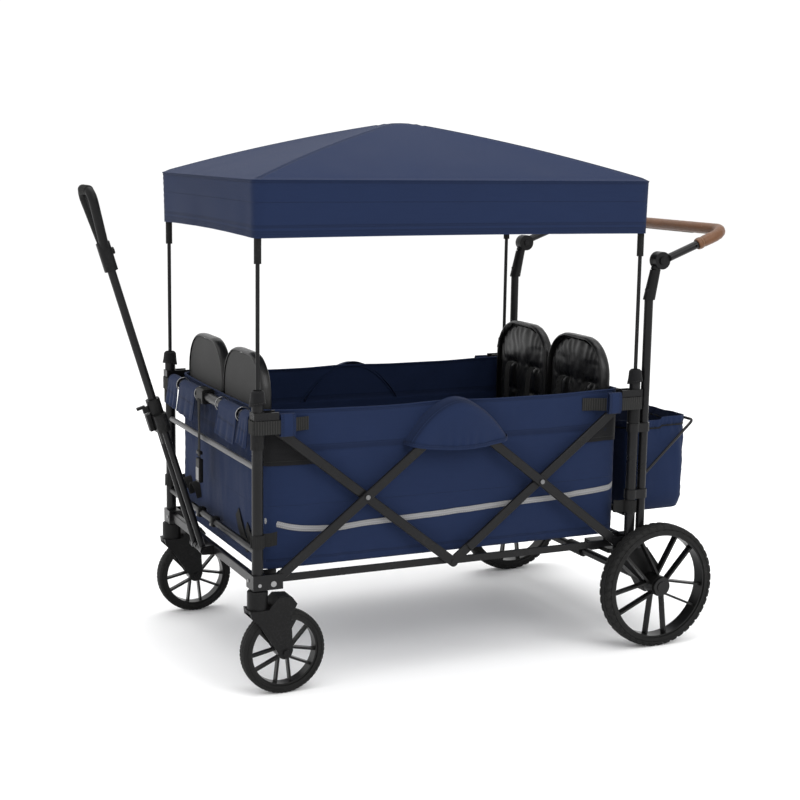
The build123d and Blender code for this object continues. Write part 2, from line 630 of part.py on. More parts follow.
def push_socket():
    """Lower half of the push handle's joint, plugged on an upright."""
    y = -POST_Y
    z_foot = 846.0
    low = Plane(origin=(UPRIGHT_X, y, z_foot)) * Circle(UPRIGHT_D / 2 + 4)
    high = Plane(origin=(PUSH_AXIS_X - 12, y, PUSH_AXIS_Z - 22)) * Circle(UPRIGHT_D / 2 + 2)
    body = loft([low, high])
    body += across(PUSH_AXIS_X, PUSH_AXIS_Z, y, y + PUSH_DISC_WIDE, PUSH_DISC_D)
    body += rod((PUSH_AXIS_X - 12, y, PUSH_AXIS_Z - 23), (PUSH_AXIS_X - 6, y, PUSH_AXIS_Z - 8), UPRIGHT_D + 3)
    body -= across(PUSH_AXIS_X, PUSH_AXIS_Z, y - 30, y, PUSH_DISC_D + 2)
    body -= across(PUSH_AXIS_X, PUSH_AXIS_Z, y - 30, y + 40, BOLT_D + 2 * RUN_CLEAR)
    return body - rod((UPRIGHT_X, y, z_foot - 1), (UPRIGHT_X, y, UPRIGHT_TOP_Z), UPRIGHT_D)


def push_path(start):
    """Centre line of the push bar: along both arms and across, from a distance along the arm."""
    rise, run = sin(radians(PUSH_TILT)), cos(radians(PUSH_TILT))
    y = POST_Y + PUSH_ARM_OUT
    near = (PUSH_AXIS_X + run * start, -y, PUSH_AXIS_Z + rise * start)
    corner = (PUSH_AXIS_X + run * PUSH_REACH, -y, PUSH_AXIS_Z + rise * PUSH_REACH)
    far_corner, far = (corner[0], y, corner[2]), (near[0], y, near[2])
    return FilletPolyline(near, corner, far_corner, far, radius=PUSH_CORNER_R)


def push_bar():
    """Push bar with the upper half of each joint, bored for its pin and its button."""
    path = push_path(12.0)
    start = Plane(origin=path @ 0, z_dir=path % 0)
    bar = sweep(start * Circle(PUSH_BAR_D / 2), path=path)
    hollow_path = push_path(PUSH_DISC_D / 2 + 4)
    hollow_start = Plane(origin=hollow_path @ 0, z_dir=hollow_path % 0)
    bar -= sweep(hollow_start * Circle(PUSH_BAR_D / 2 - TUBE_WALL), path=hollow_path)
    bar -= across(PUSH_AXIS_X, PUSH_AXIS_Z, -2 * POST_Y, 2 * POST_Y, PUSH_DISC_D - 2)
    hole_x = PUSH_AXIS_X + cos(radians(PUSH_TILT)) * (PUSH_GRIP_START - 9)
    hole_z = PUSH_AXIS_Z + sin(radians(PUSH_TILT)) * (PUSH_GRIP_START - 9)
    arm_y = POST_Y + PUSH_ARM_OUT
    for side in (-1, 1):
        bar -= across(hole_x, hole_z, side * arm_y, side * (arm_y + PUSH_BAR_D), 5.0)
        face = side * (POST_Y + SEAT_GAP)
        outer = side * (POST_Y + PUSH_DISC_WIDE)
        floor = outer - side * PUSH_POCKET_DEEP
        disc = across(PUSH_AXIS_X, PUSH_AXIS_Z, face, outer, PUSH_DISC_D)
        disc -= across(PUSH_AXIS_X, PUSH_AXIS_Z, face - side, floor, PUSH_PIN_D)
        disc -= across(PUSH_AXIS_X, PUSH_AXIS_Z, floor, outer + side, PUSH_BUTTON_D + 2 * RUN_CLEAR)
        bar += disc
    return bar


def push_grip():
    """Leather cover over the push bar."""
    path = push_path(PUSH_GRIP_START)
    start = Plane(origin=path @ 0, z_dir=path % 0)
    ring = Circle(PUSH_GRIP_D / 2) - Circle(PUSH_BAR_D / 2)
    return sweep(start * ring, path=path)


def push_pins():
    """Hinge pins of the push handle, fixed in its upper halves."""
    pins = []
    for side in (-1, 1):
        face = side * (POST_Y + SEAT_GAP)
        floor = side * (POST_Y + PUSH_DISC_WIDE - PUSH_POCKET_DEEP)
        inner = side * (POST_Y - PUSH_DISC_WIDE - 1)
        pin = across(PUSH_AXIS_X, PUSH_AXIS_Z, inner, floor, BOLT_D)
        pin += across(PUSH_AXIS_X, PUSH_AXIS_Z, face, floor, PUSH_PIN_D)
        pin += across(PUSH_AXIS_X, PUSH_AXIS_Z, inner - side * 2, inner, PUSH_PIN_D)
        pins.append(pin)
    return pins


def push_button(side):
    """Round release button in the pocket of a joint's outer face."""
    floor = POST_Y + PUSH_DISC_WIDE - PUSH_POCKET_DEEP
    inner = floor + PUSH_BUTTON_TRAVEL + SEAT_GAP
    return across(PUSH_AXIS_X, PUSH_AXIS_Z, side * inner, side * (inner + 6.5), PUSH_BUTTON_D)


def push_handle():
    """Push handle and its joints."""
    low, high = upright_clamp(528.0, 549.0), upright_clamp(364.0, 386.0)
    node("upright_clamps", pair(low) + pair(high))
    node("push_joint_sockets", pair(push_socket()))
    node("push_bar", [push_bar()] + push_pins())
    node("push_grip", [push_grip()])
    for name, side in (("right", -1), ("left", 1)):
        node("push_button_" + name, [push_button(side)])


# ---------------------------------------------------------------- pull handle
def along_pull(distance, y, forward=0.0):
    """Point at a distance up the pull handle from its pivot."""
    lean = radians(PULL_LEAN)
    x = PULL_AXIS_X - sin(lean) * distance - cos(lean) * forward
    z = PULL_AXIS_Z + cos(lean) * distance - sin(lean) * forward
    return (x, y, z)


def pull_plane(distance, y=0.0, forward=0.0):
    """Plane square to the pull handle; its X runs backwards and its Y across."""
    lean = radians(PULL_LEAN)
    return Plane(origin=along_pull(distance, y, forward), x_dir=(cos(lean), 0, sin(lean)),
                 z_dir=(-sin(lean), 0, cos(lean)))


def pull_lower():
    """Twin lower tubes with eyes on the pivot rod."""
    pieces = []
    for side in (-1, 1):
        foot = along_pull(6.0, side * PULL_FOOT_Y)
        head = along_pull(PULL_COUPLING_AT + 12, side * PULL_HEAD_Y)
        leg = tube(foot, head, PULL_TUBE_D, PULL_TUBE_D - 2 * TUBE_WALL)
        leg += across(PULL_AXIS_X, PULL_AXIS_Z, side * (PULL_FOOT_Y - 8), side * (PULL_FOOT_Y + 8), 20.0)
        leg -= across(PULL_AXIS_X, PULL_AXIS_Z, side * 5, side * 60, BOLT_D + 2 * RUN_CLEAR)
        pieces.append(leg)
    return pieces


def pull_coupling():
    """Plastic coupling that holds both lower tubes and guides the upper tube."""
    wide = 2 * PULL_HEAD_Y + PULL_TUBE_D + 10
    base = pull_plane(PULL_COUPLING_AT)
    low = extrude(base * RectangleRounded(31, wide, 14), amount=PULL_COUPLING_LONG * 0.55)
    upper = pull_plane(PULL_COUPLING_AT + PULL_COUPLING_LONG * 0.55)
    high = extrude(upper * RectangleRounded(31, 36, 14), amount=PULL_COUPLING_LONG * 0.45)
    body = low + high
    bore = extrude(pull_plane(PULL_COUPLING_AT - 1) * Circle(PULL_UPPER_D / 2 + RUN_CLEAR),
                   amount=PULL_COUPLING_LONG + 2)
    body -= bore
    for leg in pull_lower():
        body -= leg
    return body


def pull_latch():
    """Storage hook and thumb clip on the front of the coupling."""
    lower = pull_plane(PULL_COUPLING_AT + 6, 0.0, 15.5)
    pad = extrude(lower * (Pos(-6, 0) * RectangleRounded(12, 20, 3)), amount=40)
    hook_root = pull_plane(PULL_COUPLING_AT + 50, 0.0, 15.5)
    hook = extrude(hook_root * (Pos(-7, 0) * RectangleRounded(14, 10, 2)), amount=14)
    tip = pull_plane(PULL_COUPLING_AT + 62, 0.0, 26.0)
    hook += extrude(tip * (Pos(-6, 0) * RectangleRounded(20, 10, 2)), amount=6)
    return [pad, hook]


def pull_upper():
    """Single upper tube."""
    foot, head = along_pull(PULL_UPPER_FOOT, 0), along_pull(PULL_NECK_AT + 10, 0)
    return tube(foot, head, PULL_UPPER_D, PULL_UPPER_D - 2 * TUBE_WALL)


def pull_grip():
    """D-shaped grip: neck, two spreading arms and a top bar."""
    top = PULL_NECK_AT + 52 + PULL_GRIP_LONG
    half = PULL_GRIP_WIDE / 2 - PULL_GRIP_D / 2
    neck = extrude(pull_plane(PULL_NECK_AT - 14) * RectangleRounded(30, 30, 12), amount=66)
    low, high = PULL_NECK_AT + 40, top - PULL_GRIP_D / 2
    neck -= rod(along_pull(PULL_NECK_AT - 20, 0), along_pull(PULL_NECK_AT + 10, 0), PULL_UPPER_D)
    floor = PULL_BUTTON_IN - PULL_BUTTON_TRAVEL - SEAT_GAP
    pocket = (along_pull(PULL_BUTTON_AT, 0, -floor), along_pull(PULL_BUTTON_AT, 0, -PULL_GRIP_D))
    neck -= rod(*pocket, PULL_BUTTON_D + 2 * RUN_CLEAR)
    for side in (-1, 1):
        corner = along_pull(high, side * half)
        path = FilletPolyline(along_pull(low, side * 6), corner, along_pull(high, -side), radius=PULL_GRIP_BEND)
        start = Plane(origin=path @ 0, z_dir=path % 0)
        neck += sweep(start * Circle(PULL_GRIP_D / 2), path=path)
    return neck


def pull_button():
    """Round release button in the rear face of the grip's neck."""
    inner = along_pull(PULL_BUTTON_AT, 0, -PULL_BUTTON_IN)
    return rod(inner, along_pull(PULL_BUTTON_AT, 0, -PULL_BUTTON_IN - PULL_BUTTON_LONG), PULL_BUTTON_D)


def pull_bracket():
    """Pivot bracket in the middle of the front bottom rail."""
    rail_face = -POST_X - END_RAIL_THICK / 2
    cheeks = []
    for side in (-1, 1):
        y_from, y_to = side * (PULL_FOOT_Y + 9), side * (PULL_FOOT_Y + 12)
        outline = [(rail_face, PULL_AXIS_Z - 11), (rail_face, PULL_AXIS_Z + 11),
                   (PULL_AXIS_X - 9, PULL_AXIS_Z + 9), (PULL_AXIS_X - 11, PULL_AXIS_Z - 2),
                   (PULL_AXIS_X - 6, PULL_AXIS_Z - 10)]
        cheek = side_plate(outline, min(y_from, y_to), max(y_from, y_to))
        cheeks.append(cheek - across(PULL_AXIS_X, PULL_AXIS_Z, y_from * 2, 0, BOLT_D))
    back = block(rail_face - 2.5, rail_face, -PULL_FOOT_Y - 9, PULL_FOOT_Y + 9, PULL_AXIS_Z - 11, PULL_AXIS_Z + 11)
    bracket = cheeks[0] + cheeks[1] + back
    return bracket


def pull_pivot():
    """Pivot rod with a head at each end."""
    end = PULL_FOOT_Y + 12
    pin = across(PULL_AXIS_X, PULL_AXIS_Z, -end, end, BOLT_D)
    pin += across(PULL_AXIS_X, PULL_AXIS_Z, -end - 2.5, -end, 13.0)
    return pin + across(PULL_AXIS_X, PULL_AXIS_Z, end, end + 2.5, 13.0)


def pull_springs():
    """Two torsion springs on the pivot rod, drawn as ribbed sleeves."""
    pieces = []
    for side in (-1, 1):
        sleeve = across_ring(PULL_AXIS_X, PULL_AXIS_Z, side * 3.4, side * 18.6, SPRING_D - 2.4, SPRING_BORE)
        for turn in range(SPRING_TURNS):
            y = side * (5.0 + 3.0 * turn)
            sleeve += across_ring(PULL_AXIS_X, PULL_AXIS_Z, y - 1.1, y + 1.1, SPRING_D, SPRING_BORE)
        pieces.append(sleeve)
    return pieces


def pull_handle():
    """Pull handle and its pivot."""
    node("pull_pivot", [pull_bracket(), pull_pivot()] + pull_springs())
    node("pull_lower_tubes", pull_lower())
    node("pull_coupling", [pull_coupling()] + pull_latch())
    node("pull_upper_tube", [pull_upper()])
    node("pull_grip", [pull_grip()])
    node("pull_grip_button", [pull_button()])


# ---------------------------------------------------------------- canopy
def canopy_shell(inset):
    """Roof and valance as one solid, drawn in by the cloth's thickness."""
    x, y = CANOPY_X - inset, CANOPY_Y - inset
    skirt = block(-x, x, -y, y, CANOPY_HEM_Z - inset, CANOPY_EAVE_Z - inset * 0.4)
    eave = Plane.XY.offset(CANOPY_EAVE_Z - inset * 0.4) * Rectangle(2 * x, 2 * y)
    rise = CANOPY_PEAK_Z - CANOPY_EAVE_Z
    middle = Plane.XY.offset(CANOPY_EAVE_Z + rise * ROOF_KNEE_RISE - inset)
    middle = middle * Rectangle(x * 2 * ROOF_KNEE_PLAN, y * 2 * ROOF_KNEE_PLAN)
    peak = Plane.XY.offset(CANOPY_PEAK_Z - inset) * Rectangle(24, 18)
    return skirt + loft([eave, middle], ruled=True) + loft([middle, peak], ruled=True)


def canopy_cover():
    """Fabric roof with its valance, open underneath."""
    return canopy_shell(0.0) - canopy_shell(CANOPY_CLOTH)


def canopy_stay(x, side):
    """Roof stay from a sleeve's head up to the peak."""
    inward = -1 if x > 0 else 1
    drop = 15.0
    rise = CANOPY_PEAK_Z - CANOPY_EAVE_Z
    foot = (x + inward * 9, side * (POST_Y - 7), CANOPY_EAVE_Z - drop + 2)
    knee = (x * 0.5, side * POST_Y * 0.5, CANOPY_EAVE_Z + rise * ROOF_KNEE_RISE - drop)
    head = (-inward * 8.0, side * 6.0, CANOPY_PEAK_Z - drop - 3)
    ball = Pos(*knee) * Sphere(STAY_D / 2)
    return rod(foot, knee, STAY_D) + ball + rod(knee, head, STAY_D)


def canopy_rod(x):
    """Thin rod from a corner socket up into its sleeve."""
    return rod((x, -POST_Y, ROD_FOOT_Z), (x, -POST_Y, SLEEVE_FOOT_Z + SLEEVE_GRIP), ROD_D)


def canopy_sleeve(x):
    """Plastic sleeve at a canopy corner."""
    body = rod((x, -POST_Y, SLEEVE_FOOT_Z), (x, -POST_Y, CANOPY_EAVE_Z - 12), SLEEVE_D)
    return body - rod((x, -POST_Y, SLEEVE_FOOT_Z), (x, -POST_Y, SLEEVE_FOOT_Z + SLEEVE_GRIP), ROD_D)


def canopy():
    """Canopy rods, sleeves, stays and cover."""
    node("canopy_cover", [canopy_cover()])
    for name, x in (("front", -POST_X), ("rear", POST_X)):
        node("canopy_rods_" + name, pair(canopy_rod(x)))
        node("canopy_sleeves_" + name, pair(canopy_sleeve(x)))
    stays = [canopy_stay(x, side) for x in (-POST_X, POST_X) for side in (-1, 1)]
    node("canopy_stays", stays)


# ---------------------------------------------------------------- soft goods
def tub():
    """Fabric tub, open at the top."""
    outer = block(-TUB_X, TUB_X, -TUB_Y, TUB_Y, TUB_FLOOR_Z, TUB_TOP_Z)
    inner_x, inner_y = TUB_X - TUB_CLOTH, TUB_Y - TUB_CLOTH
    inner = block(-inner_x, inner_x, -inner_y, inner_y, TUB_FLOOR_Z + TUB_CLOTH, TUB_TOP_Z + 1)
    outer = rounded(outer, 14.0, outer.edges().filter_by(Axis.Z))
    inner = rounded(inner, 10.0, inner.edges().filter_by(Axis.Z))
    return outer - inner


def floor_mat():
    """Padded floor mat in two halves."""
    z_from = TUB_FLOOR_Z + TUB_CLOTH + SEAT_GAP
    mats = []
    for side in (-1, 1):
        x_near, x_far = side * 2.0, side * (TUB_X - TUB_CLOTH - 6)
        mat = block(min(x_near, x_far), max(x_near, x_far), -TUB_Y + TUB_CLOTH + 6, TUB_Y - TUB_CLOTH - 6,
                    z_from, z_from + MAT_THICK)
        mats.append(mat)
    return mats


def seat(end, side):
    """Seat with a tall rounded back against an end panel and a cushion."""
    back_x = end * (TUB_X - TUB_CLOTH - 3)
    front_x = back_x - end * SEAT_BACK_THICK
    nose_x = back_x - end * SEAT_DEEP
    y_near = side * SEAT_SPLIT / 2
    y_far = side * (SEAT_SPLIT / 2 + SEAT_WIDE)
    y_from, y_to = min(y_near, y_far), max(y_near, y_far)
    back = block(min(back_x, front_x), max(back_x, front_x), y_from, y_to, SEAT_LOW_Z, SEAT_TOP_Z)
    top = [e for e in back.edges().filter_by(Axis.X) if e.center().Z > SEAT_TOP_Z - 1]
    back = fillet(top, 88.0)
    cushion = block(min(front_x, nose_x), max(front_x, nose_x), y_from, y_to, SEAT_LOW_Z,
                    SEAT_LOW_Z + SEAT_CUSHION_THICK)
    nose = [e for e in cushion.edges().filter_by(Axis.Z) if abs(e.center().X - nose_x) < 1]
    return back + fillet(nose, 30.0)


def side_flap():
    """Dome-shaped flap that hangs over the centre hinge from the tub's top edge."""
    y_out = -BRACKET_OUT_Y - 2.2 - FLAP_CLOTH
    rise = FLAP_DROP
    arc_r = (FLAP_HALF ** 2 + rise ** 2) / (2 * rise)
    centre_z = TUB_TOP_Z - arc_r
    disc = across(0, centre_z, y_out, y_out + FLAP_CLOTH, 2 * arc_r)
    keep = block(-FLAP_HALF, FLAP_HALF, y_out - 1, y_out + FLAP_CLOTH + 1, TUB_TOP_Z - rise, TUB_TOP_Z)
    dome = disc & keep
    crown_half = sqrt(arc_r ** 2 - (arc_r - FLAP_CLOTH) ** 2)
    roof = block(-crown_half, crown_half, y_out + 0.5, -TUB_Y - 0.5, TUB_TOP_Z - FLAP_CLOTH, TUB_TOP_Z)
    return dome + roof


def rail_flap(y_from, y_to):
    """Fabric flap wrapped over the front top rail."""
    x_in = -POST_X + TOP_RAIL_D / 2 + 1
    x_out = -POST_X - TOP_RAIL_D / 2 - 1
    z_top = TOP_RAIL_Z + TOP_RAIL_D / 2 + 1
    front = block(x_out - FLAP_CLOTH, x_out, y_from, y_to, z_top - 62, z_top + FLAP_CLOTH)
    over = block(x_out, x_in + FLAP_CLOTH, y_from, y_to, z_top, z_top + FLAP_CLOTH)
    back = block(x_in, x_in + FLAP_CLOTH, y_from, y_to, z_top - 30, z_top)
    return front + over + back


def fold_strap():
    """Centre clamp on the front top rail with its hanging webbing strap and buckle."""
    x_out = -POST_X - TOP_RAIL_D / 2
    y = STRAP_AT_Y
    clamp = block(x_out - 4, -POST_X + TOP_RAIL_D / 2 + 4, y - 24, y + 24, TOP_RAIL_Z - 17, TOP_RAIL_Z + 17)
    clamp = rounded(clamp, 6.0, clamp.edges().filter_by(Axis.Y))
    clamp -= across(-POST_X, TOP_RAIL_Z, y - 30, y + 30, TOP_RAIL_D)
    buckle_top = TOP_RAIL_Z - STRAP_DROP
    strap = block(x_out - 4, x_out - 2, y - 10, y + 10, buckle_top, TOP_RAIL_Z - 17)
    buckle = block(x_out - 9, x_out + 2, y - 13, y + 13, buckle_top - BUCKLE_LONG, buckle_top)
    buckle = rounded(buckle, 3.0)
    return clamp, strap, buckle


def basket():
    """Rear storage bag, open at the top."""
    x_near, x_far = BASKET_FRONT_X, BASKET_FRONT_X + BASKET_DEEP
    half = BASKET_HALF_WIDE
    outer = block(x_near, x_far, -half, half, BASKET_FLOOR_Z, BASKET_TOP_Z)
    outer = rounded(outer, 24.0, outer.edges().filter_by(Axis.Z))
    cloth = BASKET_CLOTH
    inner = block(x_near + cloth, x_far - cloth, -half + cloth, half - cloth, BASKET_FLOOR_Z + cloth, BASKET_TOP_Z + 1)
    return outer - rounded(inner, 21.0, inner.edges().filter_by(Axis.Z))


def basket_frame():
    """Bent rod that holds the bag open, from one upright round to the other."""
    x_far = BASKET_FRONT_X + BASKET_DEEP + 8
    y = BASKET_HALF_WIDE + 10
    z_low, z_high = BASKET_TOP_Z - BASKET_FRAME_LOW, BASKET_TOP_Z - BASKET_FRAME_HIGH
    ends = UPRIGHT_X + UPRIGHT_D / 2
    points = [(ends, -POST_Y + 4, z_low), (ends + 22, -y - 20, z_low + 16), (x_far, -y, z_high),
              (x_far, y, z_high), (ends + 22, y + 20, z_low + 16), (ends, POST_Y - 4, z_low)]
    path = FilletPolyline(*points, radius=12)
    start = Plane(origin=path @ 0, z_dir=path % 0)
    bar = sweep(start * Circle(BASKET_FRAME_D / 2), path=path)
    for side in (-1, 1):
        bar -= rod((UPRIGHT_X, side * POST_Y, z_low - 40), (UPRIGHT_X, side * POST_Y, z_low + 40), UPRIGHT_D)
    return bar


def soft_goods():
    """Tub, mat, seats, flaps, strap and basket."""
    node("tub", [tub()])
    node("floor_mat", floor_mat())
    for name, end in (("front", -1), ("rear", 1)):
        node(name + "_seats", [seat(end, side) for side in (-1, 1)])
    node("fabric_flaps", pair(side_flap()) + [rail_flap(low, high) for low, high in RAIL_FLAPS])
    clamp, strap, buckle = fold_strap()
    node("fold_strap", [strap])
    node("fold_strap_fittings", [clamp, buckle])
    node("rear_basket", [basket()])
    node("rear_basket_frame", [basket_frame()])


# ---------------------------------------------------------------- the whole wagon
def lower_frames():
    """Front and rear lower end frames with the pieces that only one of them has."""
    lower_end_frame("front", -POST_X, 1, [], pair(barrel(-POST_X)), [])
    lower_end_frame("rear", POST_X, -1, pair(upright()), pair(axle_housing()), [rear_axle()])
    grey = cross_tube(-POST_X, GREY_TUBE_Z, GREY_TUBE_D, POST_OD)
    node("front_grey_tube", [grey])
    node("brake_pedal", [brake_pedal()])


def side_rails():
    """Bottom side rails in halves."""
    node("front_half_rails", pair(half_rail(-RAIL_FRONT_Y, -PIVOT_X, PIVOT_X)))
    node("rear_half_rails", pair(half_rail(-RAIL_REAR_Y, PIVOT_X, -PIVOT_X)))


def build():
    """Build and write every node."""
    lower_frames()
    top_end_frame("front", -POST_X, 1)
    top_end_frame("rear", POST_X, -1)
    scissors()
    side_rails()
    casters()
    rear_wheels()
    push_handle()
    pull_handle()
    canopy()
    soft_goods()
    whole_box = Compound([solid for solids in NODES.values() for solid in solids]).bounding_box()
    shift = -(whole_box.min.X + whole_box.max.X) / 2
    os.makedirs("parts", exist_ok=True)
    for name, solids in NODES.items():
        moved = [Pos(shift, 0, 0) * solid for solid in solids]
        shape = moved[0] if len(moved) == 1 else Compound(children=moved)
        export_step(shape, "parts/" + name + ".step")
    print(len(NODES), "nodes, moved along X by", round(shift, 4))
    return shift


SHIFT_X = build()       # puts the origin under the middle of the wagon's box
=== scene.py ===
import math

import bmesh
import bpy
from bpy.props import FloatProperty, FloatVectorProperty, IntProperty, PointerProperty
from mathutils import Matrix, Vector, noise
from mathutils.kdtree import KDTree


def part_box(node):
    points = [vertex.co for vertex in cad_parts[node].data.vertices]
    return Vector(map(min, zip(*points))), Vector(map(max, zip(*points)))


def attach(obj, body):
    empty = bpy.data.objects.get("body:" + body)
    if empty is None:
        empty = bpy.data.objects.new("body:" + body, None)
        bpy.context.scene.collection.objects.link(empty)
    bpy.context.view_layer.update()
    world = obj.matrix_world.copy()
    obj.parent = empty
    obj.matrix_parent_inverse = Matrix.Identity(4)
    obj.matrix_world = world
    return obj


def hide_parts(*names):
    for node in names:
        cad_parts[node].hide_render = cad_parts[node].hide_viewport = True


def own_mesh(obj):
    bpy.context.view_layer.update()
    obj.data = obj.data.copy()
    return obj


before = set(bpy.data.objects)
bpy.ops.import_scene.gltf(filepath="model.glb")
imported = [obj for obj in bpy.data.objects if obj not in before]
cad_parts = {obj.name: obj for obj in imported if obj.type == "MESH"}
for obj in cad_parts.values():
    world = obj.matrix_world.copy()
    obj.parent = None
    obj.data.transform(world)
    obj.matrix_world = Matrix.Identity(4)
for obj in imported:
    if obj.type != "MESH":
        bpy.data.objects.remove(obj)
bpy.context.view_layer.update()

bl_info = {
    "name": "Folding four-seat wagon",
    "version": (1, 0, 0),
    "blender": (4, 5, 0),
    "location": "View3D > Sidebar > Wagon",
    "description": "Soft goods, webbing, tyres and finishes of a folding four-seat wagon, laid on its frame",
    "category": "Object",
}

# ------------------------------------------------------------------ places on the frame
TUB_LOW, TUB_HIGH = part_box("tub")
ROOF_LOW, ROOF_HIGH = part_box("canopy_cover")
BAG_LOW, BAG_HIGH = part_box("rear_basket")
MAT_LOW, MAT_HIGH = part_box("floor_mat")
SEAT_LOW, SEAT_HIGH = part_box("front_seats")
FRONT_RAIL_LOW, FRONT_RAIL_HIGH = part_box("front_top_tubes")
REAR_RAIL_LOW, REAR_RAIL_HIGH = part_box("rear_top_tubes")
FRONT_POST_X = (FRONT_RAIL_LOW.x + FRONT_RAIL_HIGH.x) / 2
REAR_POST_X = (REAR_RAIL_LOW.x + REAR_RAIL_HIGH.x) / 2
MIDDLE_X = (FRONT_POST_X + REAR_POST_X) / 2
POST_Y = 0.328
TOP_RAIL_Z = 0.612
HALF_LONG = (TUB_HIGH.x - TUB_LOW.x) / 2
HALF_WIDE = TUB_HIGH.y
TUB_DEEP = TUB_HIGH.z - TUB_LOW.z
BAND_SEAM_Z = TUB_HIGH.z - 0.095
SIDES = (("right", -1), ("left", 1))
WEB_WIDE, WEB_THICK = 0.030, 0.0018
STRIP_WIDE = 0.0135
EYE = (-1.5413, -3.3804, 1.2067)          # camera's place
EYE_TURN = (-24.79, 9.25, 0.856)          # its azimuth, elevation and roll in degrees
EYE_SHIFT = (0.0047, -0.0102)
SENSOR_WIDE = 36


def end_word(end):
    """Name of one end of the wagon; end is -1 at the front."""
    return "front" if end < 0 else "rear"


# ------------------------------------------------------------------ settings a user may change
class WagonCloth(bpy.types.PropertyGroup):
    """Colours and cloth of the soft goods."""

    navy: FloatVectorProperty(name="Navy", description="Colour of the canopy, tub and bag", subtype="COLOR",
                              size=3, min=0, max=1, default=(0.0105, 0.0200, 0.0560))
    navy_shade: FloatVectorProperty(name="Navy weft", description="Darker colour of the crossing threads",
                                    subtype="COLOR", size=3, min=0, max=1, default=(0.0065, 0.0125, 0.0370))
    leather: FloatVectorProperty(name="Leather", description="Colour of the push handle's cover",
                                 subtype="COLOR", size=3, min=0, max=1, default=(0.130, 0.052, 0.018))
    vinyl: FloatVectorProperty(name="Seat vinyl", description="Colour of the seats", subtype="COLOR",
                               size=3, min=0, max=1, default=(0.0050, 0.0050, 0.0052))
    thread_pitch: FloatProperty(name="Thread pitch", description="Distance between woven threads",
                                unit="LENGTH", min=0.0003, max=0.01, default=0.0014, precision=4)
    cloth_thick: FloatProperty(name="Cloth thickness", description="Thickness of the navy canvas",
                               unit="LENGTH", min=0.0004, max=0.004, default=0.0016, precision=4)


class WagonShape(bpy.types.PropertyGroup):
    """Sags, folds and fullness of the soft goods."""

    belly: FloatProperty(name="Panel belly", description="How far the side panels swell outwards",
                         unit="LENGTH", min=0, max=0.02, default=0.011, precision=4)
    roof_sag: FloatProperty(name="Roof sag", description="How far each roof panel hangs between its ridges",
                            unit="LENGTH", min=0, max=0.02, default=0.004, precision=4)
    hem_arch: FloatProperty(name="Hem arch", description="Rise of the canopy's hem between its corners",
                            unit="LENGTH", min=0, max=0.03, default=0.005, precision=4)
    pad_cap: FloatProperty(name="Pad swell", description="Most that a point of a pad may move as it fills",
                           unit="LENGTH", min=0, max=0.03, default=0.010, precision=4)
    pad_frames: IntProperty(name="Pad frames", description="Steps of the filling of each pad",
                            min=4, max=40, default=18)


class WagonStage(bpy.types.PropertyGroup):
    """Floor, light and camera."""

    floor: FloatVectorProperty(name="Floor", description="Colour of the floor and the backdrop",
                               subtype="COLOR", size=3, min=0, max=1, default=(0.95, 0.95, 0.95))
    sky: FloatProperty(name="Room light", description="Strength of the even light of the room",
                       min=0, max=5, default=1.08)
    key: FloatProperty(name="Key light", description="Power of the large light over the wagon's front",
                       min=0, max=2000, default=100.0)
    lens: FloatProperty(name="Lens", description="Focal length of the camera in millimetres",
                        min=20, max=200, default=68.88)


# ------------------------------------------------------------------ bench tools
def clear():
    """Leave edit mode and deselect everything."""
    if bpy.context.object and bpy.context.object.mode != "OBJECT":
        bpy.ops.object.mode_set(mode="OBJECT")
    bpy.ops.object.select_all(action="DESELECT")


def named(name):
    """Name the primitive just added and settle its place into its mesh."""
    obj = bpy.context.object
    obj.name = obj.data.name = name
    bpy.ops.object.transform_apply(location=True, rotation=True, scale=True)
    return obj


def only(obj):
    """Make one object the selected and active one."""
    clear()
    obj.select_set(True)
    bpy.context.view_layer.objects.active = obj
    return obj


def edit(obj, mode, test, *steps):
    """Select the elements that pass a test, then run steps in edit mode."""
    only(obj)
    bpy.context.tool_settings.mesh_select_mode = (mode == "VERT", mode == "EDGE", mode == "FACE")
    mesh = obj.data
    mesh.vertices.foreach_set("select", [False] * len(mesh.vertices))
    mesh.edges.foreach_set("select", [False] * len(mesh.edges))
    mesh.polygons.foreach_set("select", [False] * len(mesh.polygons))
    if mode == "FACE":
        for face in mesh.polygons:
            face.select = bool(test(face.center, face.normal))
    elif mode == "EDGE":
        for line in mesh.edges:
            a, b = (mesh.vertices[i].co for i in line.vertices)
            line.select = bool(test((a + b) / 2, (b - a)))
    else:
        for vertex in mesh.vertices:
            vertex.select = bool(test(vertex.co, vertex.normal))
    bpy.ops.object.mode_set(mode="EDIT")
    for step in steps:
        step()
    bpy.ops.object.mode_set(mode="OBJECT")
    return obj


def everywhere(*_):
    """Test that selects all of a mesh."""
    return True


def merge(obj, distance=0.00005):
    """Close seams where edges lie on each other."""
    return edit(obj, "VERT", everywhere, lambda: bpy.ops.mesh.remove_doubles(threshold=distance))


def outward(obj):
    """Turn all faces outwards."""
    return edit(obj, "FACE", everywhere, lambda: bpy.ops.mesh.normals_make_consistent(inside=False))


def modify(obj, kind, **settings):
    """Add a modifier and apply it."""
    only(obj)
    modifier = obj.modifiers.new(kind.title(), kind)
    for key, value in settings.items():
        setattr(modifier, key, value)
    bpy.ops.object.modifier_apply(modifier=modifier.name)
    return obj


def soften(obj, degrees=40):
    """Shade smooth, with creases kept sharp."""
    only(obj)
    bpy.ops.object.shade_smooth_by_angle(angle=math.radians(degrees))
    return obj


def dressed(obj, material):
    """Give a piece its finish."""
    obj.data.materials.clear()
    obj.data.materials.append(material)
    return obj


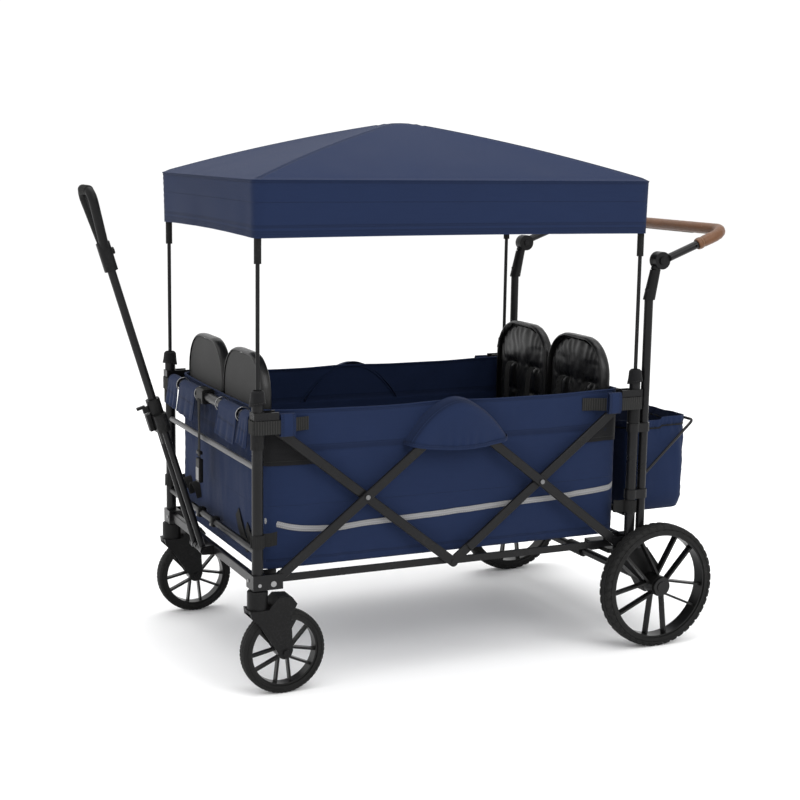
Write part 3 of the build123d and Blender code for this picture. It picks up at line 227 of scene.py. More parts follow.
def grid(name, along, across, place, metres=(1.0, 1.0), sew=None, closed=False):
    """Sheet shaped from a grid: place(u, v) gives each point, sew(u, v) its distance to a row of stitches."""
    clear()
    bpy.ops.mesh.primitive_grid_add(x_subdivisions=along, y_subdivisions=across, size=1)
    obj = named(name)
    spots = [(vertex.co.x + 0.5, vertex.co.y + 0.5) for vertex in obj.data.vertices]
    for vertex, (u, v) in zip(obj.data.vertices, spots):
        vertex.co = place(u, v)
    for corner in obj.data.uv_layers[0].data:
        corner.uv = (corner.uv[0] * metres[0], corner.uv[1] * metres[1])
    stitch_marks(obj, [sew(u, v) if sew else (1.0, 0.0) for u, v in spots])
    if closed:
        merge(obj)
    return obj


def stitch_marks(obj, marks):
    """Store each point's distance to the nearest sewn row, and its place along that row."""
    for index, name in enumerate(("sewn_row", "sewn_run")):
        attribute = obj.data.attributes.new(name, "FLOAT", "POINT")
        attribute.data.foreach_set("value", [mark[index] for mark in marks])


def ring_sheet(name, rings, place, rise, sew):
    """Sheet of square rings round a middle point: place(a, b, k) puts the point at (a, b) of ring k."""
    clear()
    bpy.ops.mesh.primitive_grid_add(x_subdivisions=2 * rings, y_subdivisions=2 * rings, size=2 * rings)
    obj = named(name)
    spots = []
    for vertex in obj.data.vertices:
        s, t = vertex.co.x, vertex.co.y
        k = round(max(abs(s), abs(t)))
        spots.append((s / k, t / k, k) if k else (0.0, 0.0, 0))
    for vertex, spot in zip(obj.data.vertices, spots):
        vertex.co = place(*spot)
    uv = obj.data.uv_layers[0].data
    for face in obj.data.polygons:
        lengthwise = sum(abs(spots[i][1]) - abs(spots[i][0]) for i in face.vertices) > 0
        for loop in face.loop_indices:
            i = obj.data.loops[loop].vertex_index
            co = obj.data.vertices[i].co
            uv[loop].uv = (co.x if lengthwise else co.y, rise[spots[i][2]])
    marks = []
    for vertex, (a, b, k) in zip(obj.data.vertices, spots):
        marks.append((sew(a, b, k), vertex.co.x if abs(b) >= abs(a) else vertex.co.y))
    stitch_marks(obj, marks)
    split_ridges(obj, spots)
    return obj


def split_ridges(obj, spots):
    """Cut the squares on the diagonals along the ridge, so that it stays straight."""
    mesh = bmesh.new()
    mesh.from_mesh(obj.data)
    mesh.verts.index_update()
    for face in list(mesh.faces):
        ends = [v for v in face.verts if abs(abs(spots[v.index][0]) - abs(spots[v.index][1])) < 1e-6]
        if len(ends) == 2:
            bmesh.utils.face_split(face, ends[0], ends[1])
    mesh.to_mesh(obj.data)
    mesh.free()


def round_corner(x, y, half_x, half_y, radius):
    """Draw a point of a rectangle's outline onto its rounded corner."""
    inner_x, inner_y = half_x - radius, half_y - radius
    if radius <= 0 or abs(x) <= inner_x or abs(y) <= inner_y:
        return x, y
    corner = Vector((math.copysign(inner_x, x), math.copysign(inner_y, y)))
    reach = Vector((x, y)) - corner
    far = max(abs(reach.x), abs(reach.y))
    if reach.length < 1e-9:
        return x, y
    point = corner + reach.normalized() * far
    return point.x, point.y


def thicken(obj, amount, side=-1.0):
    """Give a sheet its thickness."""
    return modify(obj, "SOLIDIFY", thickness=amount, offset=side, use_even_offset=False)


def mirror_copy(obj, name, axis="Y", about=0.0):
    """Copy a piece to the other side, with its own mesh and faces turned back out."""
    only(obj)
    bpy.ops.object.duplicate(linked=False)
    twin = bpy.context.object
    twin.name = twin.data.name = name
    index = "XYZ".index(axis)
    for vertex in twin.data.vertices:
        vertex.co[index] = 2 * about - vertex.co[index]
    edit(twin, "FACE", everywhere, bpy.ops.mesh.flip_normals)
    return twin


def ease(low, high, value):
    """Smooth step from 0 at low to 1 at high."""
    t = min(1.0, max(0.0, (value - low) / (high - low)))
    return t * t * (3 - 2 * t)


def ripple(x, y, z, size, seed=0.0):
    """Soft irregular folds, the same each time."""
    return noise.noise(Vector((x / size + seed, y / size - seed, z / size + 2 * seed)))


def curve_points(points, count):
    """Points evenly spread on a smooth line through the given ones."""
    points = [Vector(p) for p in points]
    padded = [2 * points[0] - points[1]] + points + [2 * points[-1] - points[-2]]
    fine = []
    for i in range(1, len(padded) - 2):
        p0, p1, p2, p3 = padded[i - 1:i + 3]
        for step in range(24):
            t = step / 24
            fine.append(0.5 * ((2 * p1) + (p2 - p0) * t + (2 * p0 - 5 * p1 + 4 * p2 - p3) * t * t
                               + (3 * p1 - p0 - 3 * p2 + p3) * t ** 3))
    fine.append(points[-1])
    return evenly(fine, count)


def evenly(points, count):
    """Resample a line into count points of equal spacing."""
    points = [Vector(p) for p in points]
    lengths = [0.0]
    for a, b in zip(points, points[1:]):
        lengths.append(lengths[-1] + (b - a).length)
    result, j = [], 0
    for i in range(count):
        want = lengths[-1] * i / (count - 1)
        while j < len(points) - 2 and lengths[j + 1] < want:
            j += 1
        span = lengths[j + 1] - lengths[j]
        result.append(points[j].lerp(points[j + 1], (want - lengths[j]) / span if span else 0.0))
    return result


def line_length(points):
    """Length of a line through points."""
    return sum((b - a).length for a, b in zip(points, points[1:]))


def strap(name, points, across, width, thick, material, count=40, rows=6, wave=None):
    """Flat webbing along a line; across(t) is the direction of its width."""
    line = evenly(points, count + 1)
    long = line_length(line)

    def place(u, v):
        i = round(u * count)
        offset = (wave(u) if wave else 0.0)
        return line[i] + across(u).normalized() * (v - 0.5 + offset) * width

    obj = grid(name, count, rows, place, (long, width),
               sew=lambda u, v: (min(v, 1 - v) * width - 0.002, u * long))
    thicken(obj, thick, 0.0)
    return dressed(soften(obj, 50), material)


def tube_along(name, points, radius, material, around=12, capped=True, metres=None):
    """Round piece along a line; radius may change along it. Its width is carried without twist."""
    points = [Vector(p) for p in points]
    count = len(points) - 1
    heads = [(points[min(i + 1, count)] - points[max(i - 1, 0)]).normalized() for i in range(count + 1)]
    side = heads[0].orthogonal().normalized()
    sides = []
    for head in heads:
        side = (side - head * side.dot(head)).normalized()
        sides.append(side.copy())
    size = radius if callable(radius) else (lambda u, angle: radius)

    def place(u, v):
        i, angle = round(u * count), v * 2 * math.pi
        r = size(u, angle)
        return points[i] + (sides[i] * math.cos(angle) + heads[i].cross(sides[i]) * math.sin(angle)) * r

    long = line_length(points)
    obj = grid(name, count, around, place, metres or (long, 0.1), closed=True)
    if capped:
        fill_ends(obj)
    outward(obj)
    return dressed(soften(obj, 45), material)


def select_rims():
    """Select the open edges of the mesh being edited."""
    bpy.ops.mesh.select_non_manifold(extend=False, use_wire=False, use_boundary=True,
                                     use_multi_face=False, use_non_contiguous=False, use_verts=False)


def fill_ends(obj):
    """Close the open rims of a tube."""
    only(obj)
    bpy.context.tool_settings.mesh_select_mode = (False, True, False)
    bpy.ops.object.mode_set(mode="EDIT")
    bpy.ops.mesh.select_all(action="DESELECT")
    select_rims()
    bpy.ops.mesh.fill_holes(sides=0)
    bpy.ops.object.mode_set(mode="OBJECT")
    return obj


def block(name, low, high, bevel=0.002, segments=2):
    """Moulded block between two corners with rounded edges."""
    clear()
    low, high = Vector(low), Vector(high)
    bpy.ops.mesh.primitive_cube_add(size=1, location=(low + high) / 2)
    bpy.context.object.scale = high - low
    obj = named(name)
    edit(obj, "EDGE", everywhere, lambda: bpy.ops.mesh.bevel(offset=bevel, segments=segments, affect="EDGES"))
    return obj


def disc(name, centre, axis, radius, high, bevel=0.001, sides=32):
    """Turned button or bolt head with a bevelled rim and a dished face."""
    clear()
    turn = Vector((0, 0, 1)).rotation_difference(Vector(axis)).to_euler()
    bpy.ops.mesh.primitive_cylinder_add(vertices=sides, radius=radius, depth=high, location=centre,
                                        rotation=turn)
    obj = named(name)
    axis = Vector(axis).normalized()
    edit(obj, "FACE", lambda c, n: n.dot(axis) > 0.9,
         lambda: bpy.ops.mesh.inset(thickness=radius * 0.28, depth=0.0),
         lambda: bpy.ops.mesh.inset(thickness=radius * 0.06, depth=-high * 0.18))
    modify(obj, "BEVEL", width=bevel, segments=2, limit_method="ANGLE", angle_limit=math.radians(50))
    return soften(obj)


def join(parts, name):
    """Join pieces of one finish into one piece."""
    only(parts[0])
    for part in parts[1:]:
        part.select_set(True)
    bpy.ops.object.join()
    obj = bpy.context.object
    obj.name = obj.data.name = name
    return obj


# ------------------------------------------------------------------ finishes
def wire(tree, kind, inputs=None, **settings):
    """Add a shader node, set it, and feed its sockets with values or links."""
    made = tree.nodes.new(kind)
    for key, value in settings.items():
        setattr(made, key, value)
    for key, value in (inputs or {}).items():
        if isinstance(value, bpy.types.NodeSocket):
            tree.links.new(value, made.inputs[key])
        else:
            made.inputs[key].default_value = value
    return made


def maths(tree, operation, a, b=0.0, c=0.0, clamp=False):
    """One step of arithmetic."""
    return wire(tree, "ShaderNodeMath", {0: a, 1: b, 2: c}, operation=operation, use_clamp=clamp).outputs[0]


def effect(name, ins, outs):
    """Start a node group with named inputs and outputs."""
    tree = bpy.data.node_groups.new(name, "ShaderNodeTree")
    for kind, label, default in ins:
        socket = tree.interface.new_socket(label, in_out="INPUT", socket_type=kind)
        if default is not None:
            socket.default_value = default
    for kind, label in outs:
        tree.interface.new_socket(label, in_out="OUTPUT", socket_type=kind)
    return tree, tree.nodes.new("NodeGroupInput").outputs, tree.nodes.new("NodeGroupOutput").inputs


def weave_effect():
    """Plain weave: crossing threads, with uneven yarn."""
    tree, given, out = effect("Weave",
                              [("NodeSocketVector", "Place", None), ("NodeSocketFloat", "Pitch", 0.0014)],
                              [("NodeSocketFloat", "Height"), ("NodeSocketFloat", "Yarn")])
    turns = maths(tree, "DIVIDE", 2 * math.pi, given["Pitch"])
    big = wire(tree, "ShaderNodeVectorMath", {0: given["Place"], "Scale": turns},
               operation="SCALE").outputs[0]
    parts = wire(tree, "ShaderNodeSeparateXYZ", {0: big}).outputs
    product = maths(tree, "MULTIPLY", maths(tree, "SINE", parts["X"]), maths(tree, "SINE", parts["Y"]))
    tree.links.new(maths(tree, "MULTIPLY_ADD", product, 0.5, 0.5), out["Height"])
    stretched = wire(tree, "ShaderNodeMapping",
                     {"Vector": given["Place"], "Scale": (14.0, 700.0, 60.0)}).outputs[0]
    slub = wire(tree, "ShaderNodeTexNoise", {"Vector": stretched, "Scale": 1.0, "Detail": 2.0}).outputs[0]
    tree.links.new(slub, out["Yarn"])
    return tree


def stitch_effect():
    """Row of stitches from a distance to the row and a place along it; its second output, the pucker beside
    the row, serves as a bump and as the mask of painted shade in that crease.
    """
    tree, given, out = effect("Stitches", [("NodeSocketFloat", "Row", 1.0), ("NodeSocketFloat", "Run", 0.0),
                                           ("NodeSocketFloat", "Length",
                                            0.0045), ("NodeSocketFloat", "Width", 0.0007)],
                              [("NodeSocketFloat", "Mask"), ("NodeSocketFloat", "Pull")])
    away = maths(tree, "ABSOLUTE", given["Row"])
    near = maths(tree, "SUBTRACT", 1.0, maths(tree, "DIVIDE", away, given["Width"]), clamp=True)
    beat = maths(tree, "FRACT", maths(tree, "DIVIDE", given["Run"], given["Length"]))
    dash = maths(tree, "LESS_THAN", beat, 0.68)
    tree.links.new(maths(tree, "MULTIPLY", near, dash), out["Mask"])
    # pucker beside the row: height for the bump, and mask of the painted shade in the crease
    wide = maths(tree, "MULTIPLY", given["Width"], 5.0)
    tree.links.new(maths(tree, "SUBTRACT", 1.0, maths(tree, "DIVIDE", away, wide), clamp=True), out["Pull"])
    return tree


def grain_effect():
    """Fine surface grain with broad, faint patches."""
    tree, given, out = effect("Grain",
                              [("NodeSocketVector", "Place", None), ("NodeSocketFloat", "Fineness", 900.0),
                                        ("NodeSocketFloat", "Patches", 9.0)],
                              [("NodeSocketFloat", "Height"), ("NodeSocketFloat", "Mottle")])
    fine = wire(tree, "ShaderNodeTexNoise", {"Vector": given["Place"], "Scale": given["Fineness"],
                                             "Detail": 3.0})
    broad = wire(tree, "ShaderNodeTexNoise", {"Vector": given["Place"], "Scale": given["Patches"],
                                              "Detail": 4.0, "Roughness": 0.6})
    tree.links.new(fine.outputs[0], out["Height"])
    tree.links.new(broad.outputs[0], out["Mottle"])
    return tree


def hide_effect():
    """Pebbled leather grain: cells with creases between them."""
    tree, given, out = effect("Hide",
                              [("NodeSocketVector", "Place", None), ("NodeSocketFloat", "Cells", 420.0)],
                              [("NodeSocketFloat", "Height"), ("NodeSocketFloat", "Shade")])
    bent = wire(tree, "ShaderNodeTexNoise",
                {"Vector": given["Place"], "Scale": 160.0, "Detail": 2.0}).outputs[1]
    mixed = wire(tree, "ShaderNodeVectorMath", {0: bent, "Scale": 0.0022}, operation="SCALE").outputs[0]
    moved = wire(tree, "ShaderNodeVectorMath", {0: given["Place"], 1: mixed}, operation="ADD").outputs[0]
    cells = wire(tree, "ShaderNodeTexVoronoi", {"Vector": moved, "Scale": given["Cells"]},
                 feature="DISTANCE_TO_EDGE").outputs[0]
    tree.links.new(maths(tree, "MULTIPLY", cells, 3.2, clamp=True), out["Height"])
    broad = wire(tree, "ShaderNodeTexNoise",
                 {"Vector": given["Place"], "Scale": 26.0, "Detail": 5.0}).outputs[0]
    tree.links.new(broad, out["Shade"])
    return tree


def wear_effect():
    """Scuffs and settled dust: sparse fine marks inside broad patches."""
    tree, given, out = effect("Wear",
                              [("NodeSocketVector", "Place", None), ("NodeSocketFloat", "Amount", 0.3)],
                              [("NodeSocketFloat", "Mask")])
    patch = wire(tree, "ShaderNodeTexNoise",
                 {"Vector": given["Place"], "Scale": 12.0, "Detail": 4.0}).outputs[0]
    mark = wire(tree, "ShaderNodeTexNoise",
                {"Vector": given["Place"], "Scale": 210.0, "Detail": 3.0}).outputs[0]
    both = maths(tree, "MULTIPLY", maths(tree, "SUBTRACT", patch, 0.42, clamp=True),
                 maths(tree, "SUBTRACT", mark, 0.46, clamp=True))
    tree.links.new(maths(tree, "MULTIPLY", maths(tree, "MULTIPLY", both, 18.0), given["Amount"], clamp=True),
                   out["Mask"])
    return tree


EFFECTS = {}
FINISHES = {}


def place_effect(tree, name, inputs):
    """Put a shared effect into a material."""
    return wire(tree, "ShaderNodeGroup", inputs, node_tree=EFFECTS[name]).outputs


def start(name):
    """New material: its tree and its Principled shader."""
    material = bpy.data.materials.new(name)
    material.use_nodes = True
    tree = material.node_tree
    tree.nodes.clear()
    shader = wire(tree, "ShaderNodeBsdfPrincipled")
    out = wire(tree, "ShaderNodeOutputMaterial")
    tree.links.new(shader.outputs[0], out.inputs[0])
    FINISHES[name] = material
    return tree, shader


def feed(tree, shader, socket, low, high, factor):
    """Feed one socket with a value between low and high."""
    spread = maths(tree, "MULTIPLY_ADD", factor, high - low, low)
    tree.links.new(spread, shader.inputs[socket])


def tint(tree, shader, dark, light, factor, socket="Base Color"):
    """Feed a colour between two shades, and give it back for more mixing."""
    mix = wire(tree, "ShaderNodeMix", data_type="RGBA")
    tree.links.new(factor, mix.inputs[0])
    mix.inputs[6].default_value = (*dark, 1.0)
    mix.inputs[7].default_value = (*light, 1.0)
    tree.links.new(mix.outputs[2], shader.inputs[socket])
    return mix.outputs[2]


def overlay(tree, shader, below, colour, mask):
    """Lay a colour over what feeds the base colour."""
    mix = wire(tree, "ShaderNodeMix", data_type="RGBA")
    tree.links.new(mask, mix.inputs[0])
    tree.links.new(below, mix.inputs[6])
    mix.inputs[7].default_value = (*colour, 1.0)
    tree.links.new(mix.outputs[2], shader.inputs["Base Color"])
    return mix.outputs[2]


def raise_surface(tree, shader, layers):
    """Chain bumps of (height, distance, strength)."""
    normal = None
    for height, distance, strength in layers:
        bump = wire(tree, "ShaderNodeBump", {"Height": height, "Distance": distance, "Strength": strength})
        if normal is not None:
            tree.links.new(normal, bump.inputs["Normal"])
        normal = bump.outputs[0]
    tree.links.new(normal, shader.inputs["Normal"])


def cloth_finish(name, light, dark, pitch, thread, rough=0.86, sheen=0.04):
    """Woven canvas with sewn rows, on the piece's own map; painted shade darkens the cloth in the crease
    beside each row.
    """
    tree, shader = start(name)
    place = wire(tree, "ShaderNodeUVMap", uv_map="UVMap").outputs[0]
    solid = wire(tree, "ShaderNodeTexCoord").outputs["Object"]
    weave = place_effect(tree, "weave", {"Place": place, "Pitch": pitch})
    grain = place_effect(tree, "grain", {"Place": solid, "Fineness": 420.0, "Patches": 5.0})
    row = wire(tree, "ShaderNodeAttribute", attribute_name="sewn_row").outputs["Fac"]
    run = wire(tree, "ShaderNodeAttribute", attribute_name="sewn_run").outputs["Fac"]
    sewn = place_effect(tree, "stitches", {"Row": row, "Run": run, "Length": 0.0048, "Width": 0.0009})
    shade = maths(tree, "ADD", maths(tree, "MULTIPLY", weave["Yarn"], 0.55),
                  maths(tree, "MULTIPLY", grain["Mottle"], 0.45))
    colour = tint(tree, shader, dark, light, shade)
    # painted shade: the cloth is darkened in the crease beside each sewn row
    colour = overlay(tree, shader, colour, [c * 0.35 for c in dark],
                     maths(tree, "MULTIPLY", sewn["Pull"], 0.55))
    overlay(tree, shader, colour, thread, maths(tree, "MULTIPLY", sewn["Mask"], 0.75))
    feed(tree, shader, "Roughness", rough - 0.06, rough + 0.06, grain["Mottle"])
    shader.inputs["Sheen Weight"].default_value = sheen
    shader.inputs["Sheen Roughness"].default_value = 0.45
    shader.inputs["Specular IOR Level"].default_value = 0.12
    raise_surface(tree, shader, [(weave["Height"], 0.0003, 0.35), (grain["Height"], 0.0006, 0.15),
                                 (maths(tree, "SUBTRACT", sewn["Mask"], sewn["Pull"]), 0.0012, 0.6)])


def moulded_finish(name, dark, light, rough, grain_scale, bump, wear=0.2, wear_colour=(0.06, 0.06, 0.06),
                   metallic=0.0, coat=0.0, gloss=0.3):
    """Painted, moulded or plated hard surface with fine grain and light wear."""
    tree, shader = start(name)
    solid = wire(tree, "ShaderNodeTexCoord").outputs["Object"]
    grain = place_effect(tree, "grain", {"Place": solid, "Fineness": grain_scale, "Patches": 14.0})
    marks = place_effect(tree, "wear", {"Place": solid, "Amount": wear})
    colour = tint(tree, shader, dark, light, grain["Mottle"])
    overlay(tree, shader, colour, wear_colour, marks["Mask"])
    feed(tree, shader, "Roughness", rough - 0.05, rough + 0.09, grain["Mottle"])
    shader.inputs["Metallic"].default_value = metallic
    shader.inputs["Specular IOR Level"].default_value = gloss
    if coat:
        shader.inputs["Coat Weight"].default_value = coat
        shader.inputs["Coat Roughness"].default_value = 0.18
    raise_surface(tree, shader, [(grain["Height"], 0.0004, bump)])


def hide_finish(name, dark, light, rough, cells, bump, sewn_thread=None, gloss=0.0):
    """Leather or vinyl with pebbled grain, worn a little brighter in places, with painted shade in the crease
    beside any sewn rows.
    """
    tree, shader = start(name)
    solid = wire(tree, "ShaderNodeTexCoord").outputs["Object"]
    hide = place_effect(tree, "hide", {"Place": solid, "Cells": cells})
    colour = tint(tree, shader, dark, light, hide["Shade"])
    layers = [(hide["Height"], 0.0004, bump)]
    if sewn_thread:
        row = wire(tree, "ShaderNodeAttribute", attribute_name="sewn_row").outputs["Fac"]
        run = wire(tree, "ShaderNodeAttribute", attribute_name="sewn_run").outputs["Fac"]
        sewn = place_effect(tree, "stitches", {"Row": row, "Run": run, "Length": 0.005, "Width": 0.0011})
        # painted shade: the hide is darkened in the crease beside each sewn row
        colour = overlay(tree, shader, colour, [c * 0.3 for c in dark],
                         maths(tree, "MULTIPLY", sewn["Pull"], 0.5))
        overlay(tree, shader, colour, sewn_thread, sewn["Mask"])
        layers.append((maths(tree, "SUBTRACT", sewn["Mask"], sewn["Pull"]), 0.0014, 0.7))
    feed(tree, shader, "Roughness", rough - 0.06, rough + 0.10, hide["Shade"])
    shader.inputs["Specular IOR Level"].default_value = 0.22
    if gloss:
        shader.inputs["Coat Weight"].default_value = gloss
        shader.inputs["Coat Roughness"].default_value = 0.30
    raise_surface(tree, shader, layers)


def webbing_finish(name, dark, light, pitch, depth):
    """Ribbed webbing: ribs across its length with a fine weave between; painted shade darkens the grooves
    between ribs, and the yarn's tone varies at random.
    """
    tree, shader = start(name)
    place = wire(tree, "ShaderNodeUVMap", uv_map="UVMap").outputs[0]
    parts = wire(tree, "ShaderNodeSeparateXYZ", {0: place}).outputs
    rib = maths(tree, "SINE", maths(tree, "MULTIPLY", parts["X"], 2 * math.pi / pitch))
    rib = maths(tree, "MULTIPLY_ADD", rib, 0.5, 0.5)
    weave = place_effect(tree, "weave", {"Place": place, "Pitch": 0.0016})
    # painted shade: colour follows the rib height, darker in the grooves; the yarn part is random tone
    tint(tree, shader, dark, light, maths(tree, "ADD", maths(tree, "MULTIPLY", rib, 0.6),
                                          maths(tree, "MULTIPLY", weave["Yarn"], 0.4)))
    feed(tree, shader, "Roughness", 0.72, 0.9, weave["Yarn"])
    shader.inputs["Specular IOR Level"].default_value = 0.2
    raise_surface(tree, shader, [(rib, depth, 0.8), (weave["Height"], 0.0003, 0.4)])


def quilt_finish(name, dark, light):
    """Padded mat cloth with a fine cross weave on solid coordinates."""
    tree, shader = start(name)
    solid = wire(tree, "ShaderNodeTexCoord").outputs["Object"]
    weave = place_effect(tree, "weave", {"Place": solid, "Pitch": 0.002})
    grain = place_effect(tree, "grain", {"Place": solid, "Fineness": 500.0, "Patches": 6.0})
    tint(tree, shader, dark, light, maths(tree, "ADD", maths(tree, "MULTIPLY", weave["Yarn"], 0.5),
                                          maths(tree, "MULTIPLY", grain["Mottle"], 0.5)))
    feed(tree, shader, "Roughness", 0.8, 0.95, grain["Mottle"])
    raise_surface(tree, shader, [(weave["Height"], 0.0004, 0.4), (grain["Height"], 0.0005, 0.2)])


def rib_back_finish(name, dark, light):
    """Upright fine ribs of the seats' rear cloth, with painted shade darkening the grooves between ribs, and
    random tone.
    """
    tree, shader = start(name)
    solid = wire(tree, "ShaderNodeTexCoord").outputs["Object"]
    parts = wire(tree, "ShaderNodeSeparateXYZ", {0: solid}).outputs
    rib = maths(tree, "SINE", maths(tree, "MULTIPLY", parts["Y"], 2 * math.pi / 0.0042))
    rib = maths(tree, "MULTIPLY_ADD", rib, 0.5, 0.5)
    grain = place_effect(tree, "grain", {"Place": solid, "Fineness": 700.0, "Patches": 10.0})
    # painted shade: colour follows the rib height, darker in the grooves; the mottle part is random tone
    tint(tree, shader, dark, light, maths(tree, "ADD", maths(tree, "MULTIPLY", rib, 0.5),
                                          maths(tree, "MULTIPLY", grain["Mottle"], 0.5)))
    feed(tree, shader, "Roughness", 0.62, 0.82, grain["Mottle"])
    raise_surface(tree, shader, [(rib, 0.0008, 0.5), (grain["Height"], 0.0004, 0.3)])


def prepare_finishes():
    """Build the shared effects and every finish."""
    cloth = bpy.context.scene.wagon_cloth
    EFFECTS.update(weave=weave_effect(), stitches=stitch_effect(), grain=grain_effect(), hide=hide_effect(),
                   wear=wear_effect())
    navy, shade = tuple(cloth.navy), tuple(cloth.navy_shade)
    cloth_finish("navy canvas", navy, shade, cloth.thread_pitch, [c * 1.5 for c in navy])
    cloth_finish("dark mesh", (0.009, 0.009, 0.010), (0.003, 0.003, 0.0035), 0.0028, (0.03, 0.03, 0.03),
                 0.8, 0.1)
    cloth_finish("grey reflective tape", (0.27, 0.27, 0.275), (0.19, 0.19, 0.195), 0.0016,
                 (0.45, 0.45, 0.45), 0.55, 0.0)
    cloth_finish("blue tag", (0.16, 0.26, 0.75), (0.12, 0.20, 0.6), 0.0012, (0.3, 0.4, 0.9), 0.7, 0.1)
    webbing_finish("black webbing", (0.004, 0.004, 0.004), (0.012, 0.012, 0.0118), 0.0034, 0.0006)
    webbing_finish("ribbed elastic", (0.004, 0.004, 0.004), (0.024, 0.024, 0.0232), 0.0058, 0.0012)
    hide_finish("seat vinyl", tuple(cloth.vinyl), (0.011, 0.011, 0.011), 0.30, 520.0, 0.22, gloss=0.12)
    leather = tuple(cloth.leather)
    hide_finish("tan leather", [c * 0.62 for c in leather], leather, 0.42, 620.0, 0.45,
                sewn_thread=(0.42, 0.22, 0.10), gloss=0.2)
    rib_back_finish("seat back cloth", (0.006, 0.006, 0.006), (0.016, 0.016, 0.0155))
    quilt_finish("mat cloth", (0.012, 0.014, 0.022), (0.026, 0.030, 0.046))
    moulded_finish("black powder coat", (0.0035, 0.0035, 0.0040), (0.0065, 0.0065, 0.0070), 0.27, 1300.0,
                   0.08, wear=0.10, gloss=0.17)
    moulded_finish("grey steel", (0.12, 0.12, 0.125), (0.17, 0.17, 0.17), 0.42, 900.0, 0.08, wear=0.15,
                   metallic=0.3, gloss=0.2)
    moulded_finish("bright steel", (0.20, 0.20, 0.205), (0.30, 0.30, 0.30), 0.34, 800.0, 0.05, wear=0.2,
                   metallic=1.0)
    moulded_finish("black plastic", (0.0035, 0.0035, 0.0037), (0.0070, 0.0070, 0.0072), 0.42, 1500.0, 0.30,
                   wear=0.12, gloss=0.12)
    moulded_finish("rim plastic", (0.003, 0.003, 0.003), (0.006, 0.006, 0.006), 0.28, 1100.0, 0.10,
                   wear=0.1, gloss=0.20)
    moulded_finish("tyre rubber", (0.006, 0.006, 0.006), (0.013, 0.013, 0.0128), 0.60, 700.0, 0.45, wear=0.4,
                   wear_colour=(0.030, 0.029, 0.028), gloss=0.10)
    moulded_finish("pale plastic", (0.22, 0.22, 0.22), (0.30, 0.30, 0.30), 0.5, 1200.0, 0.2, wear=0.1)


CAD_FINISH = {
    "black_steel": "black powder coat", "grey_steel": "grey steel", "bright_steel": "bright steel",
    "black_plastic": "black plastic", "tyre_rubber": "tyre rubber", "rim_plastic": "rim plastic",
    "navy_fabric": "navy canvas", "black_webbing": "black webbing", "seat_vinyl": "seat vinyl",
    "tan_leather": "tan leather", "mat_fabric": "mat cloth",
}


class WAGON_OT_frame_finishes(bpy.types.Operator):
    """Give the frame, wheels, handles and fittings their finishes"""

    bl_idname = "wagon.frame_finishes"
    bl_label = "Frame finishes"

    def execute(self, context):
        prepare_finishes()
        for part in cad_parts.values():
            for slot in part.material_slots:
                given = slot.material.name.split(".")[0]
                if given not in CAD_FINISH:
                    raise RuntimeError("no finish for " + given)
                slot.material = FINISHES[CAD_FINISH[given]]
        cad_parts["pull_pivot"].material_slots[0].material = FINISHES["black powder coat"]
        return {"FINISHED"}


# ------------------------------------------------------------------ canopy
EAVE_Z = ROOF_HIGH.z - 0.129
ROOF_HALF_X = (ROOF_HIGH.x - ROOF_LOW.x) / 2
ROOF_HALF_Y = ROOF_HIGH.y


def roof_profile():
    """(share of the plan, height, kind) of each ring of the canopy, from peak to hem."""
    rings = []
    for k in range(31):
        share = k / 30
        rise = (1 - share) + 0.30 * share * (1 - share)
        rings.append((share, EAVE_Z + (ROOF_HIGH.z - EAVE_Z) * rise - 0.004 * (1 - ease(0, 0.06, share))))
    deep = EAVE_Z - ROOF_LOW.z
    for share in (0.012, 0.03, 0.06, 0.12, 0.22, 0.34, 0.46, 0.58, 0.70, 0.80, 0.86, 0.92, 0.96, 1.0):
        rings.append((1.0, EAVE_Z - deep * share))
    return rings


